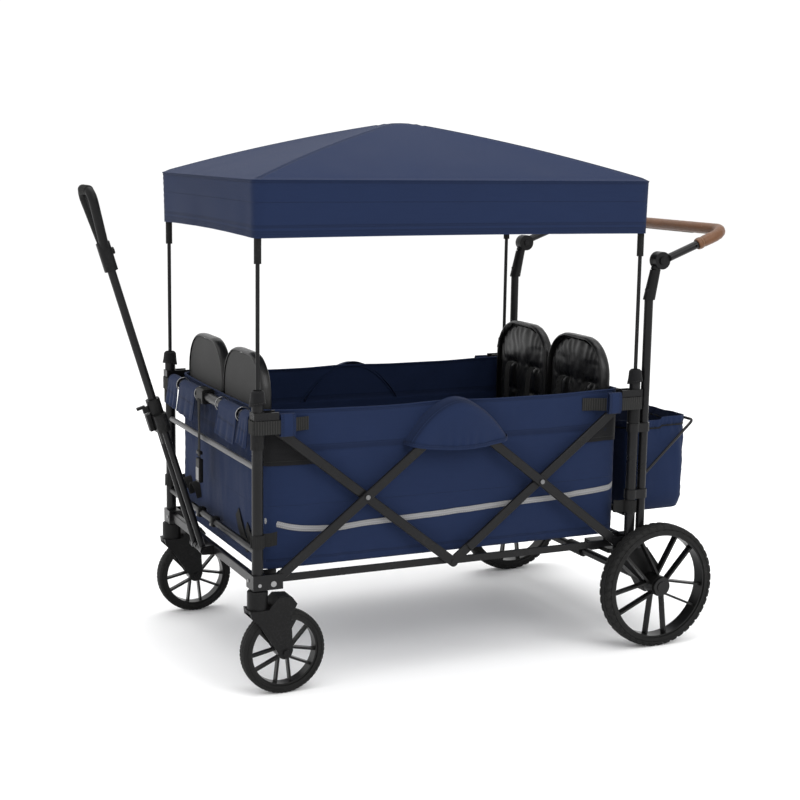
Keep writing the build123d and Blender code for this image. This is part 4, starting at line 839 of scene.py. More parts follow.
class WAGON_OT_canopy(bpy.types.Operator):
    """Make the canopy as one continuous sheet with its hem and its corner folds"""

    bl_idname = "wagon.canopy"
    bl_label = "Canopy"

    def execute(self, context):
        shape, cloth = context.scene.wagon_shape, context.scene.wagon_cloth
        rings = roof_profile()
        deep = EAVE_Z - ROOF_LOW.z
        rise = [0.0]
        for (s0, z0), (s1, z1) in zip(rings, rings[1:]):
            rise.append(rise[-1] + math.hypot((s1 - s0) * ROOF_HALF_Y, z1 - z0))
        whole = rise[-1]

        def place(a, b, k):
            share, z = rings[k]
            x, y = a * ROOF_HALF_X * share, b * ROOF_HALF_Y * share
            corner = min(abs(a), abs(b)) / max(abs(a), abs(b), 1e-9)
            down = (EAVE_Z - z) / deep if k > 30 else 0.0
            if k <= 30:
                if share > 0.97:
                    x, y = round_corner(x, y, ROOF_HALF_X * share, ROOF_HALF_Y * share, 0.016 * share)
                z -= shape.roof_sag * (1 - corner ** 3) * math.sin(math.pi * min(1, share * 1.02))
                z += 0.0016 * ripple(x, y, 0, 0.09) * ease(0.3, 1, share) * (1 - corner ** 6)
                if k == 30:
                    z -= 0.0008
            else:
                x, y = round_corner(x, y, ROOF_HALF_X, ROOF_HALF_Y, 0.018)
                swell = 0.0032 * math.sin(math.pi * down) * (1 - corner ** 4)
                wave = 0.0030 * ripple(x, y, z * 0.3, 0.11, 3.0) * down * (1 - corner ** 4)
                tuck = -0.0020 * math.exp(-(down / 0.035) ** 2)
                push = swell + wave + tuck - 0.003 * (1 - down)
                if abs(a) >= abs(b):
                    x += math.copysign(push, a)
                else:
                    y += math.copysign(push, b)
                arch = shape.hem_arch * (1.0 if abs(a) >= abs(b) else 0.45)
                z += arch * (1 - corner ** 2) * down ** 2
            return Vector((MIDDLE_X + x, y, z))

        def sew(a, b, k):
            from_hem = whole - rise[k]
            corner = min(abs(a), abs(b)) / max(abs(a), abs(b), 1e-9)
            reach = ROOF_HALF_X if abs(b) >= abs(a) else ROOF_HALF_Y
            rows = [from_hem - 0.006, from_hem - 0.024, from_hem - deep + 0.006]
            if k <= 30:
                rows.append((1 - corner) * reach * rings[k][0] - 0.006)
            return min(rows, key=abs)

        cover = ring_sheet("canopy_sheet", len(rings) - 1, place, rise, sew)
        thicken(cover, cloth.cloth_thick)
        dressed(soften(cover, 48), FINISHES["navy canvas"])
        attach(cover, "canopy_front")
        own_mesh(cover)
        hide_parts("canopy_cover")
        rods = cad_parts["canopy_stays"]
        stays = bpy.data.objects.new("roof_stays", rods.data.copy())
        context.collection.objects.link(stays)
        stays.matrix_world = rods.matrix_world.copy()
        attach(stays, "canopy_front")
        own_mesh(stays)
        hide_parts("canopy_stays")
        # corner patches sewn inside the valance, where the sleeves sit
        patches = []
        for x in (FRONT_POST_X, REAR_POST_X):
            for _, side in SIDES:
                inward = 1 if x < MIDDLE_X else -1
                face = ROOF_HALF_Y - 0.0052
                low = (min(x, x + inward * 0.03) - 0.004, side * face - 0.0006, ROOF_LOW.z + 0.03)
                high = (max(x, x + inward * 0.03) + 0.004, side * face + 0.0006, ROOF_LOW.z + 0.10)
                patches.append(block("patch", low, high, 0.0005, 1))
        patch = dressed(join(patches, "canopy_corner_patches"), FINISHES["black webbing"])
        planar_map(patch)
        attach(patch, "canopy_front")
        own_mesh(patch)
        return {"FINISHED"}


def planar_map(obj):
    """Give a boxy piece a map in metres, each face from its own side."""
    if not obj.data.uv_layers:
        obj.data.uv_layers.new(name="UVMap")
    obj.data.uv_layers[0].name = "UVMap"
    uv = obj.data.uv_layers[0].data
    for face in obj.data.polygons:
        drop = max(range(3), key=lambda i: abs(face.normal[i]))
        keep = [i for i in range(3) if i != drop]
        for loop in face.loop_indices:
            co = obj.data.vertices[obj.data.loops[loop].vertex_index].co
            uv[loop].uv = (co[keep[0]], co[keep[1]])
    if "sewn_row" not in obj.data.attributes:
        stitch_marks(obj, [(1.0, 0.0)] * len(obj.data.vertices))
    return obj


# ------------------------------------------------------------------ tub
WALL_HEIGHTS = (0.0, 0.008, 0.020, 0.036, 0.056, 0.080, 0.105, 0.130, 0.155, 0.180, 0.205, 0.228, 0.246,
                0.257, 0.262, 0.2645, 0.272, 0.284, 0.300, 0.316, 0.330, 0.342, 0.350, 0.355, 0.358)
FLOOR_RINGS = 26
TUB_CORNER = 0.024


def side_swell(x, z):
    """How far a long side panel stands out from its flat place."""
    t = (x - MIDDLE_X) / HALF_LONG
    h = (z - TUB_LOW.z) / TUB_DEEP
    belly = (bpy.context.scene.wagon_shape.belly * max(0.0, 1 - t ** 6)
             * math.sin(math.pi * min(1.0, max(0.0, h)) ** 0.85))
    folds = 0.0034 * ripple(x, 0, z, 0.085, 1.0) + 0.0022 * ripple(x * 2.2, 0, z * 0.7, 0.055, 5.0)
    hem = 0.0035 * math.sin(x * 88 + 3 * ripple(x, 0, 0, 0.15)) * math.exp(-(h / 0.10) ** 2)
    pull = -0.004 * math.exp(-((abs(t) - 0.93) / 0.07) ** 2) * math.sin(math.pi * min(1, max(0, h)))
    band = 0.0014 * ease(BAND_SEAM_Z - 0.003, BAND_SEAM_Z + 0.001, z)
    seam = -0.0022 * math.exp(-((z - BAND_SEAM_Z + 0.002) / 0.004) ** 2)
    return belly + (folds + pull) * ease(0, 0.1, h) * ease(0, 0.08, 1 - h) + hem + band + seam


def end_swell(y, z):
    """How far an end panel stands out from its flat place."""
    t = y / HALF_WIDE
    h = (z - TUB_LOW.z) / TUB_DEEP
    folds = 0.0030 * ripple(0, y, z, 0.08, 7.0) + 0.0018 * ripple(0, y * 2.4, z * 0.6, 0.05, 9.0)
    return ((0.006 * (1 - t ** 4) * math.sin(math.pi * min(1, max(0, h))) + folds * ease(0, 0.15, h))
            * ease(0, 0.1, 1 - h))


def wall_top(x, y):
    """Height of the tub's edge: it dips between what holds it."""
    t = (x - MIDDLE_X) / HALF_LONG
    if abs(y) > HALF_WIDE * 0.93:
        dip = 0.006 * (1 - t ** 2) - 0.005 * math.exp(-((x - MIDDLE_X) / 0.085) ** 2)
        return TUB_HIGH.z - dip + 0.0015 * ripple(x, 0, 0, 0.12, 2.0)
    return TUB_HIGH.z - 0.004 * (1 - (y / HALF_WIDE) ** 2)


def tub_point(a, b, k):
    """Point of the tub on ring k of its sheet, at (a, b) of the outline."""
    if k <= FLOOR_RINGS:
        share = k / FLOOR_RINGS
        x, y = round_corner(a * HALF_LONG * share, b * HALF_WIDE * share, HALF_LONG * share,
                            HALF_WIDE * share, TUB_CORNER * share)
        sag = 0.0012 * (1 - share ** 4)
        return Vector((MIDDLE_X + x, y, TUB_LOW.z + 0.002 - sag))
    z = TUB_LOW.z + WALL_HEIGHTS[k - FLOOR_RINGS]
    x, y = round_corner(a * HALF_LONG, b * HALF_WIDE, HALF_LONG, HALF_WIDE, TUB_CORNER)
    corner = min(abs(a), abs(b))
    if abs(b) >= abs(a):
        y += math.copysign(side_swell(MIDDLE_X + x, z), b) * (1 - corner ** 24)
    else:
        x += math.copysign(end_swell(y, z), a) * (1 - corner ** 24)
    lift = (wall_top(MIDDLE_X + x, y) - TUB_HIGH.z) * ease(0.6, 1.0, (z - TUB_LOW.z) / TUB_DEEP)
    return Vector((MIDDLE_X + x, y, z + lift))


def side_surface(x, z, side, proud=0.0):
    """Point on the outside of a long side panel."""
    past = max(0.0, abs(x - MIDDLE_X) - (HALF_LONG - TUB_CORNER))
    turn_in = TUB_CORNER - math.sqrt(max(0.0, TUB_CORNER ** 2 - past ** 2))
    swell = side_swell(x, z) * (1 - past / TUB_CORNER) - turn_in
    lift = (wall_top(x, HALF_WIDE) - TUB_HIGH.z) * ease(0.6, 1.0, (z - TUB_LOW.z) / TUB_DEEP)
    return Vector((x, side * (HALF_WIDE + swell + proud), z + lift))


def end_surface(y, z, end, proud=0.0):
    """Point on the outside of an end panel; end is -1 at the front."""
    return Vector((MIDDLE_X + end * (HALF_LONG + end_swell(y, z) + proud), y, z))


def hang_on(piece, end):
    """Ride a soft piece on the top frame of its end."""
    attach(piece, end_word(end) + "_top")
    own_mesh(piece)
    return piece


class WAGON_OT_tub(bpy.types.Operator):
    """Make the fabric tub, its bindings and its reflective strips"""

    bl_idname = "wagon.tub"
    bl_label = "Tub"

    def execute(self, context):
        cloth = context.scene.wagon_cloth
        count = FLOOR_RINGS + len(WALL_HEIGHTS) - 1
        rise = [HALF_WIDE * k / FLOOR_RINGS for k in range(FLOOR_RINGS + 1)]
        rise += [HALF_WIDE + h for h in WALL_HEIGHTS[1:]]

        def sew(a, b, k):
            if k <= FLOOR_RINGS:
                return 1.0
            z = TUB_LOW.z + WALL_HEIGHTS[k - FLOOR_RINGS]
            rows = [z - BAND_SEAM_Z - 0.004, z - BAND_SEAM_Z - 0.011, TUB_HIGH.z - z - 0.006,
                    z - TUB_LOW.z - 0.02]
            return min(rows, key=abs)

        tub = ring_sheet("tub_shell", count, tub_point, rise, sew)
        thicken(tub, cloth.cloth_thick)
        dressed(soften(tub, 60), FINISHES["navy canvas"])
        hang_on(tub, -1)
        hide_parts("tub")
        self.binding(context)
        self.strips()
        self.arches()
        return {"FINISHED"}

    def binding(self, context):
        """Folded binding over the tub's top edge."""
        count = 260
        edge = []
        for i in range(count + 1):
            turn = i / count * 4
            leg, t = int(turn) % 4, (turn % 1) * 2 - 1
            a, b = ((t, -1), (1, t), (-t, 1), (-1, -t))[leg]
            edge.append(tub_point(a, b, FLOOR_RINGS + len(WALL_HEIGHTS) - 1) + Vector((0, 0, -0.001)))
        edge = evenly(edge, 321)

        def place(u, v):
            i = round(u * 320)
            point, head = edge[i], edge[(i + 1) % 320] - edge[i - 1]
            side = Vector((head.y, -head.x, 0)).normalized()
            angle = (v - 0.5) * math.pi * 1.5
            return (point + side * (0.0022 * math.sin(angle))
                    + Vector((0, 0, 0.0016 * math.cos(angle) - 0.001)))

        trim = grid("tub_binding", 320, 6, place, (3.0, 0.012), closed=True)
        thicken(trim, 0.0006)
        dressed(soften(trim), FINISHES["navy canvas"])
        hang_on(trim, -1)

    def strips(self):
        """Grey reflective strips on both long sides."""
        shape = [(-0.434, 0.384), (-0.36, 0.364), (-0.267, 0.356), (-0.16, 0.362), (0.0, 0.367),
                 (0.15, 0.374), (0.296, 0.378), (0.38, 0.383), (0.448, 0.387), (0.468, 0.394)]
        line = curve_points([(x, 0, z) for x, z in shape], 121)
        for name, side in SIDES:
            def place(u, v):
                p = line[round(u * 120)]
                z = p.z + (v - 0.5) * STRIP_WIDE
                return side_surface(p.x, z, side, 0.0034 + 0.0004 * math.sin(math.pi * v))

            tape = grid("reflective_strip_" + name, 120, 4, place, (0.92, STRIP_WIDE),
                        sew=lambda u, v: (min(v, 1 - v) * STRIP_WIDE - 0.0022, u * 0.92))
            thicken(tape, 0.0007, side * 1.0)
            dressed(soften(tape), FINISHES["grey reflective tape"])
            hang_on(tape, -1)

    def arches(self):
        """Sewn arches inside both long walls, behind the side flaps."""
        for name, side in SIDES:
            pts = []
            for i in range(49):
                x = MIDDLE_X - 0.135 + 0.27 * i / 48
                z = BAND_SEAM_Z + 0.093 * (1 - abs((x - MIDDLE_X) / 0.135) ** 2.2)
                p = side_surface(x, min(z, TUB_HIGH.z - 0.004), side, -0.0026)
                pts.append(p)
            rope = tube_along("arch_piping_" + name, pts, 0.0013, FINISHES["navy canvas"], around=8)
            hang_on(rope, -1)


# ------------------------------------------------------------------ side flaps
class WAGON_OT_side_flaps(bpy.types.Operator):
    """Make the domed flaps over the middle hinges, and the flaps over the front top rail"""

    bl_idname = "wagon.side_flaps"
    bl_label = "Side and rail flaps"

    def execute(self, context):
        cloth = context.scene.wagon_cloth
        half, tall = 0.131, 0.100
        for name, side in SIDES:
            def place(u, v):
                # v runs from the sewn arch to the middle of the free edge, u along the arch
                angle = math.pi * (1 - u)
                reach = 1 - v
                x = half * math.cos(angle) * reach
                z = tall * (1 - abs(math.cos(angle)) ** 1.75) ** 0.85 * reach
                rim = reach ** 9
                full = max(0.0, 1 - rim) ** 0.5
                out = 0.0525 * full
                low = math.sin(math.pi * (x / half + 1) / 2) if abs(x) < half else 0.0
                z -= 0.013 * low * (1 - z / tall) ** 2
                gather = (0.0012 * math.sin(x * 210 + 3 * math.sin(x * 37)) * math.exp(-(z / 0.022) ** 2)
                          * (1 - rim))
                out += gather + 0.003 * math.sin(x * 40 + 1) * (1 - rim) * full
                return Vector((MIDDLE_X + 0.008 + x, side * (HALF_WIDE + 0.001 + out), BAND_SEAM_Z + z))

            def sew(u, v):
                return (v * 0.12 - 0.007, u * 0.33)

            flap = grid("side_flap_" + name, 96, 28, place, (0.33, 0.12), sew)
            merge(flap)
            outward(flap)
            thicken(flap, cloth.cloth_thick, 0.0)
            dressed(soften(flap, 60), FINISHES["navy canvas"])
            hang_on(flap, -1)
            # dark cord sewn along the arch, and the folded hem on the free edge
            arch = [place(i / 64, 0.0) + Vector((0, side * 0.0016, 0)) for i in range(65)]
            rope = tube_along("flap_piping_" + name, arch, 0.0012, FINISHES["navy canvas"], around=8)
            hang_on(rope, -1)
            hem_line = ([place(0.0, i / 40) for i in range(41)]
                        + [place(1.0, 1 - i / 40) for i in range(1, 41)])
            hem_line = evenly(hem_line, 97)

            def hem_place(u, v):
                p = hem_line[round(u * 96)]
                z = p.z + (v - 0.1) * 0.009
                return Vector((p.x, p.y + side * (0.0016 + 0.0012 * math.sin(math.pi * v)), z))

            hem = grid("flap_hem_" + name, 96, 4, hem_place, (0.28, 0.009),
                       lambda u, v: (abs(v - 0.75) * 0.009, u * 0.28))
            thicken(hem, 0.0008, 0.0)
            dressed(soften(hem), FINISHES["navy canvas"])
            hang_on(hem, -1)
        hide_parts("fabric_flaps")
        self.rail_flaps(cloth)
        return {"FINISHED"}

    def rail_flaps(self, cloth):
        """Navy flaps laid over the front top rail, with bound edges."""
        spans = [(-0.303, -0.248), (-0.226, -0.104), (0.078, 0.200), (0.222, 0.296)]
        wrap = 0.0135
        for index, (low, high) in enumerate(spans):
            wide = high - low
            drop = 0.064 if index in (1, 2) else 0.058
            back = 0.030
            arc = math.pi * wrap
            long = back + arc + drop

            def place(u, v):
                s = u * long
                y = low + v * wide
                slant = 0.10 * max(0.0, s - back - arc) * (v - 0.5)
                if s < back:
                    x, z = wrap, -(back - s)
                elif s < back + arc:
                    angle = (s - back) / wrap
                    x, z = wrap * math.cos(angle), wrap * math.sin(angle)
                else:
                    fall = s - back - arc
                    flare = 0.006 * (fall / drop) ** 1.5
                    wave = 0.0035 * math.sin(v * 9 + index * 2.1) * fall / drop
                    x, z = -wrap - flare - abs(wave), -fall + 0.005 * (v - 0.5)
                return Vector((FRONT_POST_X + x, y + slant, TOP_RAIL_Z + z))

            def sew(u, v):
                edge = min(v * wide, (1 - v) * wide, (1 - u) * long)
                return (min(edge - 0.004, abs(u * long - back - arc - 0.026), key=abs), u * long + v * wide)

            flap = grid("rail_flap_%d" % (index + 1), 44, 20, place, (long, wide), sew)
            thicken(flap, cloth.cloth_thick, 0.0)
            dressed(soften(flap, 60), FINISHES["navy canvas"])
            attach(flap, "front_top")
            # bound edges
            rim = [place(1.0, i / 20) for i in range(21)]
            rim = ([place(0.5 + 0.5 * i / 20, 0.0) for i in range(20)] + rim
                   + [place(1 - 0.5 * i / 20, 1.0) for i in range(1, 21)])
            bound = tube_along("rail_flap_binding_%d" % (index + 1), evenly(rim, 70), 0.0014,
                               FINISHES["navy canvas"], around=8)
            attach(bound, "front_top")


# ------------------------------------------------------------------ floor mat
class WAGON_OT_floor_mat(bpy.types.Operator):
    """Make the two quilted halves of the floor mat"""

    bl_idname = "wagon.floor_mat"
    bl_label = "Floor mat"

    def execute(self, context):
        thick = MAT_HIGH.z - MAT_LOW.z
        for end in (-1, 1):
            x_near, x_far = MIDDLE_X + end * 0.003, (MAT_LOW.x if end < 0 else MAT_HIGH.x)
            long, wide = abs(x_far - x_near), MAT_HIGH.y * 2

            def skin(u, v, up):
                edge = min(u, 1 - u) * long, min(v, 1 - v) * wide
                crown = ease(0, 0.022, min(edge))
                channel = 1 - 0.55 * math.exp(-((((u * 4) % 1) - 0.5) / 0.045) ** 2 * 0.25)
                channel = min(channel, 1 - 0.6 * math.exp(-(min((v * 5) % 1, 1 - (v * 5) % 1) / 0.03) ** 2))
                height = thick * (0.5 + 0.42 * crown * channel) if up else thick * 0.5 * (1 - crown)
                return Vector((min(x_near, x_far) + u * long, -MAT_HIGH.y + v * wide, MAT_LOW.z + height))

            top = grid("mat_top", 60, 72, lambda u, v: skin(u, v, True), (long, wide))
            low = grid("mat_low", 60, 72, lambda u, v: skin(u, v, False), (long, wide))
            edit(low, "FACE", everywhere, bpy.ops.mesh.flip_normals)
            mat = join([top, low], "floor_mat_" + end_word(end))
            edit(mat, "VERT", everywhere, lambda: bpy.ops.mesh.remove_doubles(threshold=0.0004))
            outward(mat)
            dressed(soften(mat, 60), FINISHES["mat cloth"])
            hang_on(mat, -1)
        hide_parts("floor_mat")
        return {"FINISHED"}


# ------------------------------------------------------------------ seats
def fill_pad(pad, pinned, context):
    """Fill a closed pad like a cushion: cloth with inner pressure, held at its seams."""
    shape = context.scene.wagon_shape
    only(pad)
    pad.data.remesh_voxel_size = 0.0055
    bpy.ops.object.voxel_remesh()
    rest = [vertex.co.copy() for vertex in pad.data.vertices]
    group = pad.vertex_groups.new(name="seams")
    for index, co in enumerate(rest):
        weight = pinned(co)
        if weight > 0:
            group.add([index], min(1.0, weight), "REPLACE")
    only(pad)
    modifier = pad.modifiers.new("Filling", "CLOTH")
    settings = modifier.settings
    settings.use_pressure = True
    settings.uniform_pressure_force = 4.0
    settings.effector_weights.gravity = 0.0
    settings.vertex_group_mass = "seams"
    settings.quality = 4
    settings.tension_stiffness = settings.compression_stiffness = 22
    settings.bending_stiffness = 0.6
    modifier.collision_settings.use_collision = False
    modifier.point_cache.frame_end = shape.pad_frames
    for step in range(1, shape.pad_frames + 1):
        context.scene.frame_set(step)
    bpy.ops.object.modifier_apply(modifier=modifier.name)
    context.scene.frame_set(1)
    for vertex, was in zip(pad.data.vertices, rest):
        moved = vertex.co - was
        if moved.length > shape.pad_cap:
            vertex.co = was + moved.normalized() * shape.pad_cap
    pad.vertex_groups.clear()
    return pad


SEAT_WIDE = 0.262
SEAT_SPLIT = 0.008
BACK_TALL = SEAT_HIGH.z - SEAT_LOW.z
CUSHION_THICK = 0.046


def back_outline(t, tall, wide, round_top):
    """Half width of the seat back at height t metres above its foot."""
    from_top = tall - t
    if from_top >= round_top:
        return wide / 2
    share = 1 - from_top / round_top
    return wide / 2 - round_top * (1 - math.sqrt(max(0.0, 1 - share ** 2)))


class WAGON_OT_seats(bpy.types.Operator):
    """Make the four padded seats with their piping, gathers and harness slots"""

    bl_idname = "wagon.seats"
    bl_label = "Seats"

    def execute(self, context):
        back = self.back_pad(context)
        cushion = self.cushion_pad(context)
        self.lay_out(back, cushion)
        return {"FINISHED"}

    def back_pad(self, context):
        """Back pad in its own place: x is its depth (front face +x), y its width, z its height."""
        clear()
        thick, round_top = 0.018, 0.092
        bpy.ops.mesh.primitive_grid_add(x_subdivisions=26, y_subdivisions=40, size=1, rotation=(0, 0, 0))
        pad = named("seat_back_pad")
        inset = 0.010
        for vertex in pad.data.vertices:
            u, v = vertex.co.x + 0.5, vertex.co.y + 0.5
            z = inset * 0.5 + v * (BACK_TALL - 1.5 * inset)
            half = max(0.0, back_outline(z + inset * (v > 0.5), BACK_TALL, SEAT_WIDE, round_top) - inset)
            vertex.co = Vector((0.006, (u * 2 - 1) * half, z))
        modify(pad, "SOLIDIFY", thickness=thick - 0.007, offset=0.0)

        def pinned(co):
            edge = back_outline(co.z, BACK_TALL, SEAT_WIDE, round_top) - inset - abs(co.y)
            weight = 1.0 if edge < 0.006 or co.z < 0.012 or co.x < 0.003 else 0.0
            slots = [(0.058, 0.300), (0.058, 0.228)]
            for y, z in slots:
                if abs(abs(co.y) - y) < 0.026 and abs(co.z - z) < 0.005:
                    weight = 1.0
            return weight

        fill_pad(pad, pinned, context)
        front = 0.006 + (thick - 0.007) / 2
        for vertex in pad.data.vertices:
            co = vertex.co
            if co.x < front - 0.004:
                continue
            share = ease(front - 0.004, front, co.x)
            edge = back_outline(co.z, BACK_TALL, SEAT_WIDE, round_top) - abs(co.y)
            top = BACK_TALL - co.z
            gather = (math.sin(co.y * 260 + 7 * ripple(co.y, 0, co.z, 0.07))
                      * math.exp(-(min(top, edge * 1.6) / 0.050) ** 2))
            co.x += 0.0017 * gather * share * ease(0, 0.02, min(top, edge))
            for y, z in ((0.058, 0.300), (0.058, 0.228)):
                dy, dz = abs(abs(co.y) - y), co.z - z
                if dy < 0.045:
                    crease = math.exp(-(dz / 0.007) ** 2) * (1 - ease(0.018, 0.030, dy))
                    star = math.exp(-(math.hypot(dy - 0.024, dz) / 0.020) ** 2)
                    co.x -= (0.0062 * crease + 0.0034 * star
                             * (1 + math.sin(math.atan2(dz, dy - 0.024) * 5)) / 2) * share
            channel = math.exp(-((abs(co.y) - 0.040) / 0.006) ** 2) * (1 - ease(0.292, 0.305, co.z))
            co.x -= 0.0032 * channel * share
            co.x += (0.0016 * ripple(co.y, 3, co.z, 0.05, 4.0) * share
                     + 0.0009 * ripple(co.y, 3, co.z, 0.018, 6.0) * share)
        return pad

    def cushion_pad(self, context):
        """Seat cushion in its own place: x runs forward from the back, y its width, z from its foot."""
        clear()
        deep = (SEAT_HIGH.x - SEAT_LOW.x) - 0.030
        bpy.ops.mesh.primitive_grid_add(x_subdivisions=24, y_subdivisions=32, size=1)
        pad = named("seat_cushion_pad")
        inset = 0.006
        nose = 0.032
        for vertex in pad.data.vertices:
            u, v = vertex.co.x + 0.5, vertex.co.y + 0.5
            x = inset + u * (deep - 2 * inset)
            half = SEAT_WIDE / 2 - inset
            from_nose = deep - inset - x
            if from_nose < nose:
                half -= nose * (1 - math.sqrt(max(0.0, 1 - (1 - from_nose / nose) ** 2)))
            vertex.co = Vector((x, (v * 2 - 1) * half, CUSHION_THICK / 2))
        modify(pad, "SOLIDIFY", thickness=CUSHION_THICK - 0.016, offset=0.0)

        def pinned(co):
            weight = 0.0
            if co.z < CUSHION_THICK / 2 - 0.010:
                weight = 1.0
            if abs(co.z - CUSHION_THICK / 2) < 0.004 and (abs(co.y) > SEAT_WIDE / 2 - 0.012 or co.x > deep
                                                          - 0.014):
                weight = 1.0
            if abs(co.x - deep * 0.52) < 0.004 and co.z > CUSHION_THICK / 2:
                weight = 0.9
            return weight

        fill_pad(pad, pinned, context)
        for vertex in pad.data.vertices:
            co = vertex.co
            up = ease(CUSHION_THICK / 2, CUSHION_THICK * 0.75, co.z)
            edge = SEAT_WIDE / 2 - abs(co.y)
            co.z += (0.0012 * up * math.sin(co.x * 300 + 3 * ripple(co.x, co.y, 0, 0.05))
                     * math.exp(-(edge / 0.03) ** 2))
            co.z -= 0.003 * up * math.exp(-((co.x - deep * 0.52) / 0.005) ** 2)
            co.z += 0.0014 * up * ripple(co.x, co.y, 0, 0.045, 8.0)
        return pad

    def lay_out(self, back, cushion):
        """Copy both pads to the four seats and add what is sewn on them."""
        for end, end_name, body in ((-1, "front", "front_top"), (1, "rear", "rear_top")):
            wall = MIDDLE_X + end * (HALF_LONG - 0.0075)
            for side_name, side in SIDES:
                middle_y = side * (SEAT_SPLIT / 2 + SEAT_WIDE / 2)
                tag = end_name + "_" + side_name
                pieces = []

                def put(source, name, shift, material):
                    only(source)
                    bpy.ops.object.duplicate(linked=False)
                    piece = bpy.context.object
                    piece.name = piece.data.name = name
                    for vertex in piece.data.vertices:
                        co = vertex.co
                        vertex.co = Vector((wall - end * (co.x + shift[0]), middle_y + co.y,
                                            SEAT_LOW.z + co.z + shift[1]))
                    if end > 0:
                        edit(piece, "FACE", everywhere, bpy.ops.mesh.flip_normals)
                    outward(piece)
                    modify(piece, "SUBSURF", levels=1, render_levels=1)
                    only(piece)
                    bpy.ops.object.shade_smooth()
                    dressed(piece, material)
                    pieces.append(piece)
                    return piece

                pad = put(back, "seat_back_" + tag, (0.004, 0.0), FINISHES["seat vinyl"])
                put(cushion, "seat_cushion_" + tag, (0.026, 0.0), FINISHES["seat vinyl"])
                pieces += self.trim(end, tag, wall, middle_y)
                for piece in pieces:
                    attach(piece, body)
                    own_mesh(piece)
                if side < 0:
                    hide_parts(end_name + "_seats")
        for source in (back, cushion):
            only(source)
            bpy.ops.object.delete()

    def trim(self, end, tag, wall, middle_y):
        """Piping, rear cloth, gusset band, straps and buckle of one seat."""
        round_top, parts = 0.092, []
        rim = []
        for i in range(25):
            rim.append((SEAT_WIDE / 2 - 0.004, 0.008 + (BACK_TALL - round_top - 0.008) * i / 24))
        for i in range(1, 33):
            angle = math.pi / 2 * i / 32
            rim.append((SEAT_WIDE / 2 - 0.004 - (round_top - 0.004) * (1 - math.cos(angle)),
                        BACK_TALL - round_top + (round_top - 0.005) * math.sin(angle)))
        rim = [(-y, z) for y, z in rim] + [(y, z) for y, z in rim][::-1]

        def outline(depth, shrink=0.0):
            return evenly([Vector((wall - end * depth, middle_y + y * (1 - shrink), SEAT_LOW.z + z
                                   - shrink * 0.03))
                           for y, z in rim], 121)

        # thick bound edge, a rounded band from front to back face
        line = outline(0.012)

        def band(u, v):
            i = round(u * 120)
            point = line[i]
            head = (line[min(i + 1, 120)] - line[max(i - 1, 0)]).normalized()
            out = Vector((0, head.z, -head.y))
            if (Vector((point.x, middle_y, SEAT_LOW.z + BACK_TALL * 0.5)) - point).dot(out) > 0:
                out = -out
            angle = (v - 0.5) * math.pi * 1.12
            puff = 1 + 0.10 * math.sin(u * 240)
            return (point + out * (0.0046 * math.cos(angle) * puff)
                    + Vector((-end * 0.0125 * math.sin(angle), 0, 0)))

        edge = grid("seat_binding_" + tag, 120, 10, band, (1.0, 0.035),
                    lambda u, v: (min(v, 1 - v) * 0.035 - 0.004, u))
        thicken(edge, 0.0012, 0.0)
        dressed(soften(edge, 60), FINISHES["seat vinyl"])
        parts.append(edge)

        # ribbed rear cloth
        def rear(u, v):
            z = 0.006 + v * (BACK_TALL - 0.014)
            half = max(0.0, back_outline(z + 0.004, BACK_TALL, SEAT_WIDE, round_top) - 0.006)
            bow = 0.0016 * math.sin(math.pi * u) * math.sin(math.pi * v)
            return Vector((wall - end * (0.0022 - bow), middle_y + (u * 2 - 1) * half, SEAT_LOW.z + z))

        cloth = grid("seat_rear_cloth_" + tag, 30, 44, rear, (SEAT_WIDE, BACK_TALL))
        thicken(cloth, 0.0012, 0.0)
        dressed(soften(cloth, 60), FINISHES["seat back cloth"])
        parts.append(cloth)

        # harness straps out of the upper slots, down over the cushion
        for hand in (-1, 1):
            y = middle_y + hand * 0.058
            points = [(wall - end * 0.018, y, SEAT_LOW.z + 0.300),
                      (wall - end * 0.029, y, SEAT_LOW.z + 0.285),
                      (wall - end * 0.034, y - hand * 0.004, SEAT_LOW.z + 0.215),
                      (wall - end * 0.038, y - hand * 0.012, SEAT_LOW.z + 0.130),
                      (wall - end * 0.055, y - hand * 0.024, SEAT_LOW.z + 0.075),
                      (wall - end * 0.095, y - hand * 0.030, SEAT_LOW.z + 0.058)]
            line = curve_points(points, 41)
            web = strap("harness_%s_%s" % (tag, "a" if hand < 0 else "b"), line,
                        lambda u: Vector((0, 1, 0)), 0.024, 0.0016, FINISHES["black webbing"])
            parts.append(web)
        # crotch strap with its round buckle
        points = [(wall - end * 0.128, middle_y, SEAT_LOW.z + 0.046),
                  (wall - end * 0.124, middle_y, SEAT_LOW.z + 0.056),
                  (wall - end * 0.105, middle_y,
                   SEAT_LOW.z + 0.062), (wall - end * 0.085, middle_y, SEAT_LOW.z + 0.064)]
        web = strap("crotch_strap_" + tag, curve_points(points, 17), lambda u: Vector((0, 1, 0)), 0.026,
                    0.0016, FINISHES["black webbing"], count=16)
        parts.append(web)
        buckle = disc("buckle_" + tag, (wall - end * 0.096, middle_y, SEAT_LOW.z + 0.070), (0, 0, 1), 0.021,
                      0.012, 0.003)
        dressed(buckle, FINISHES["black plastic"])
        parts.append(buckle)
        return parts


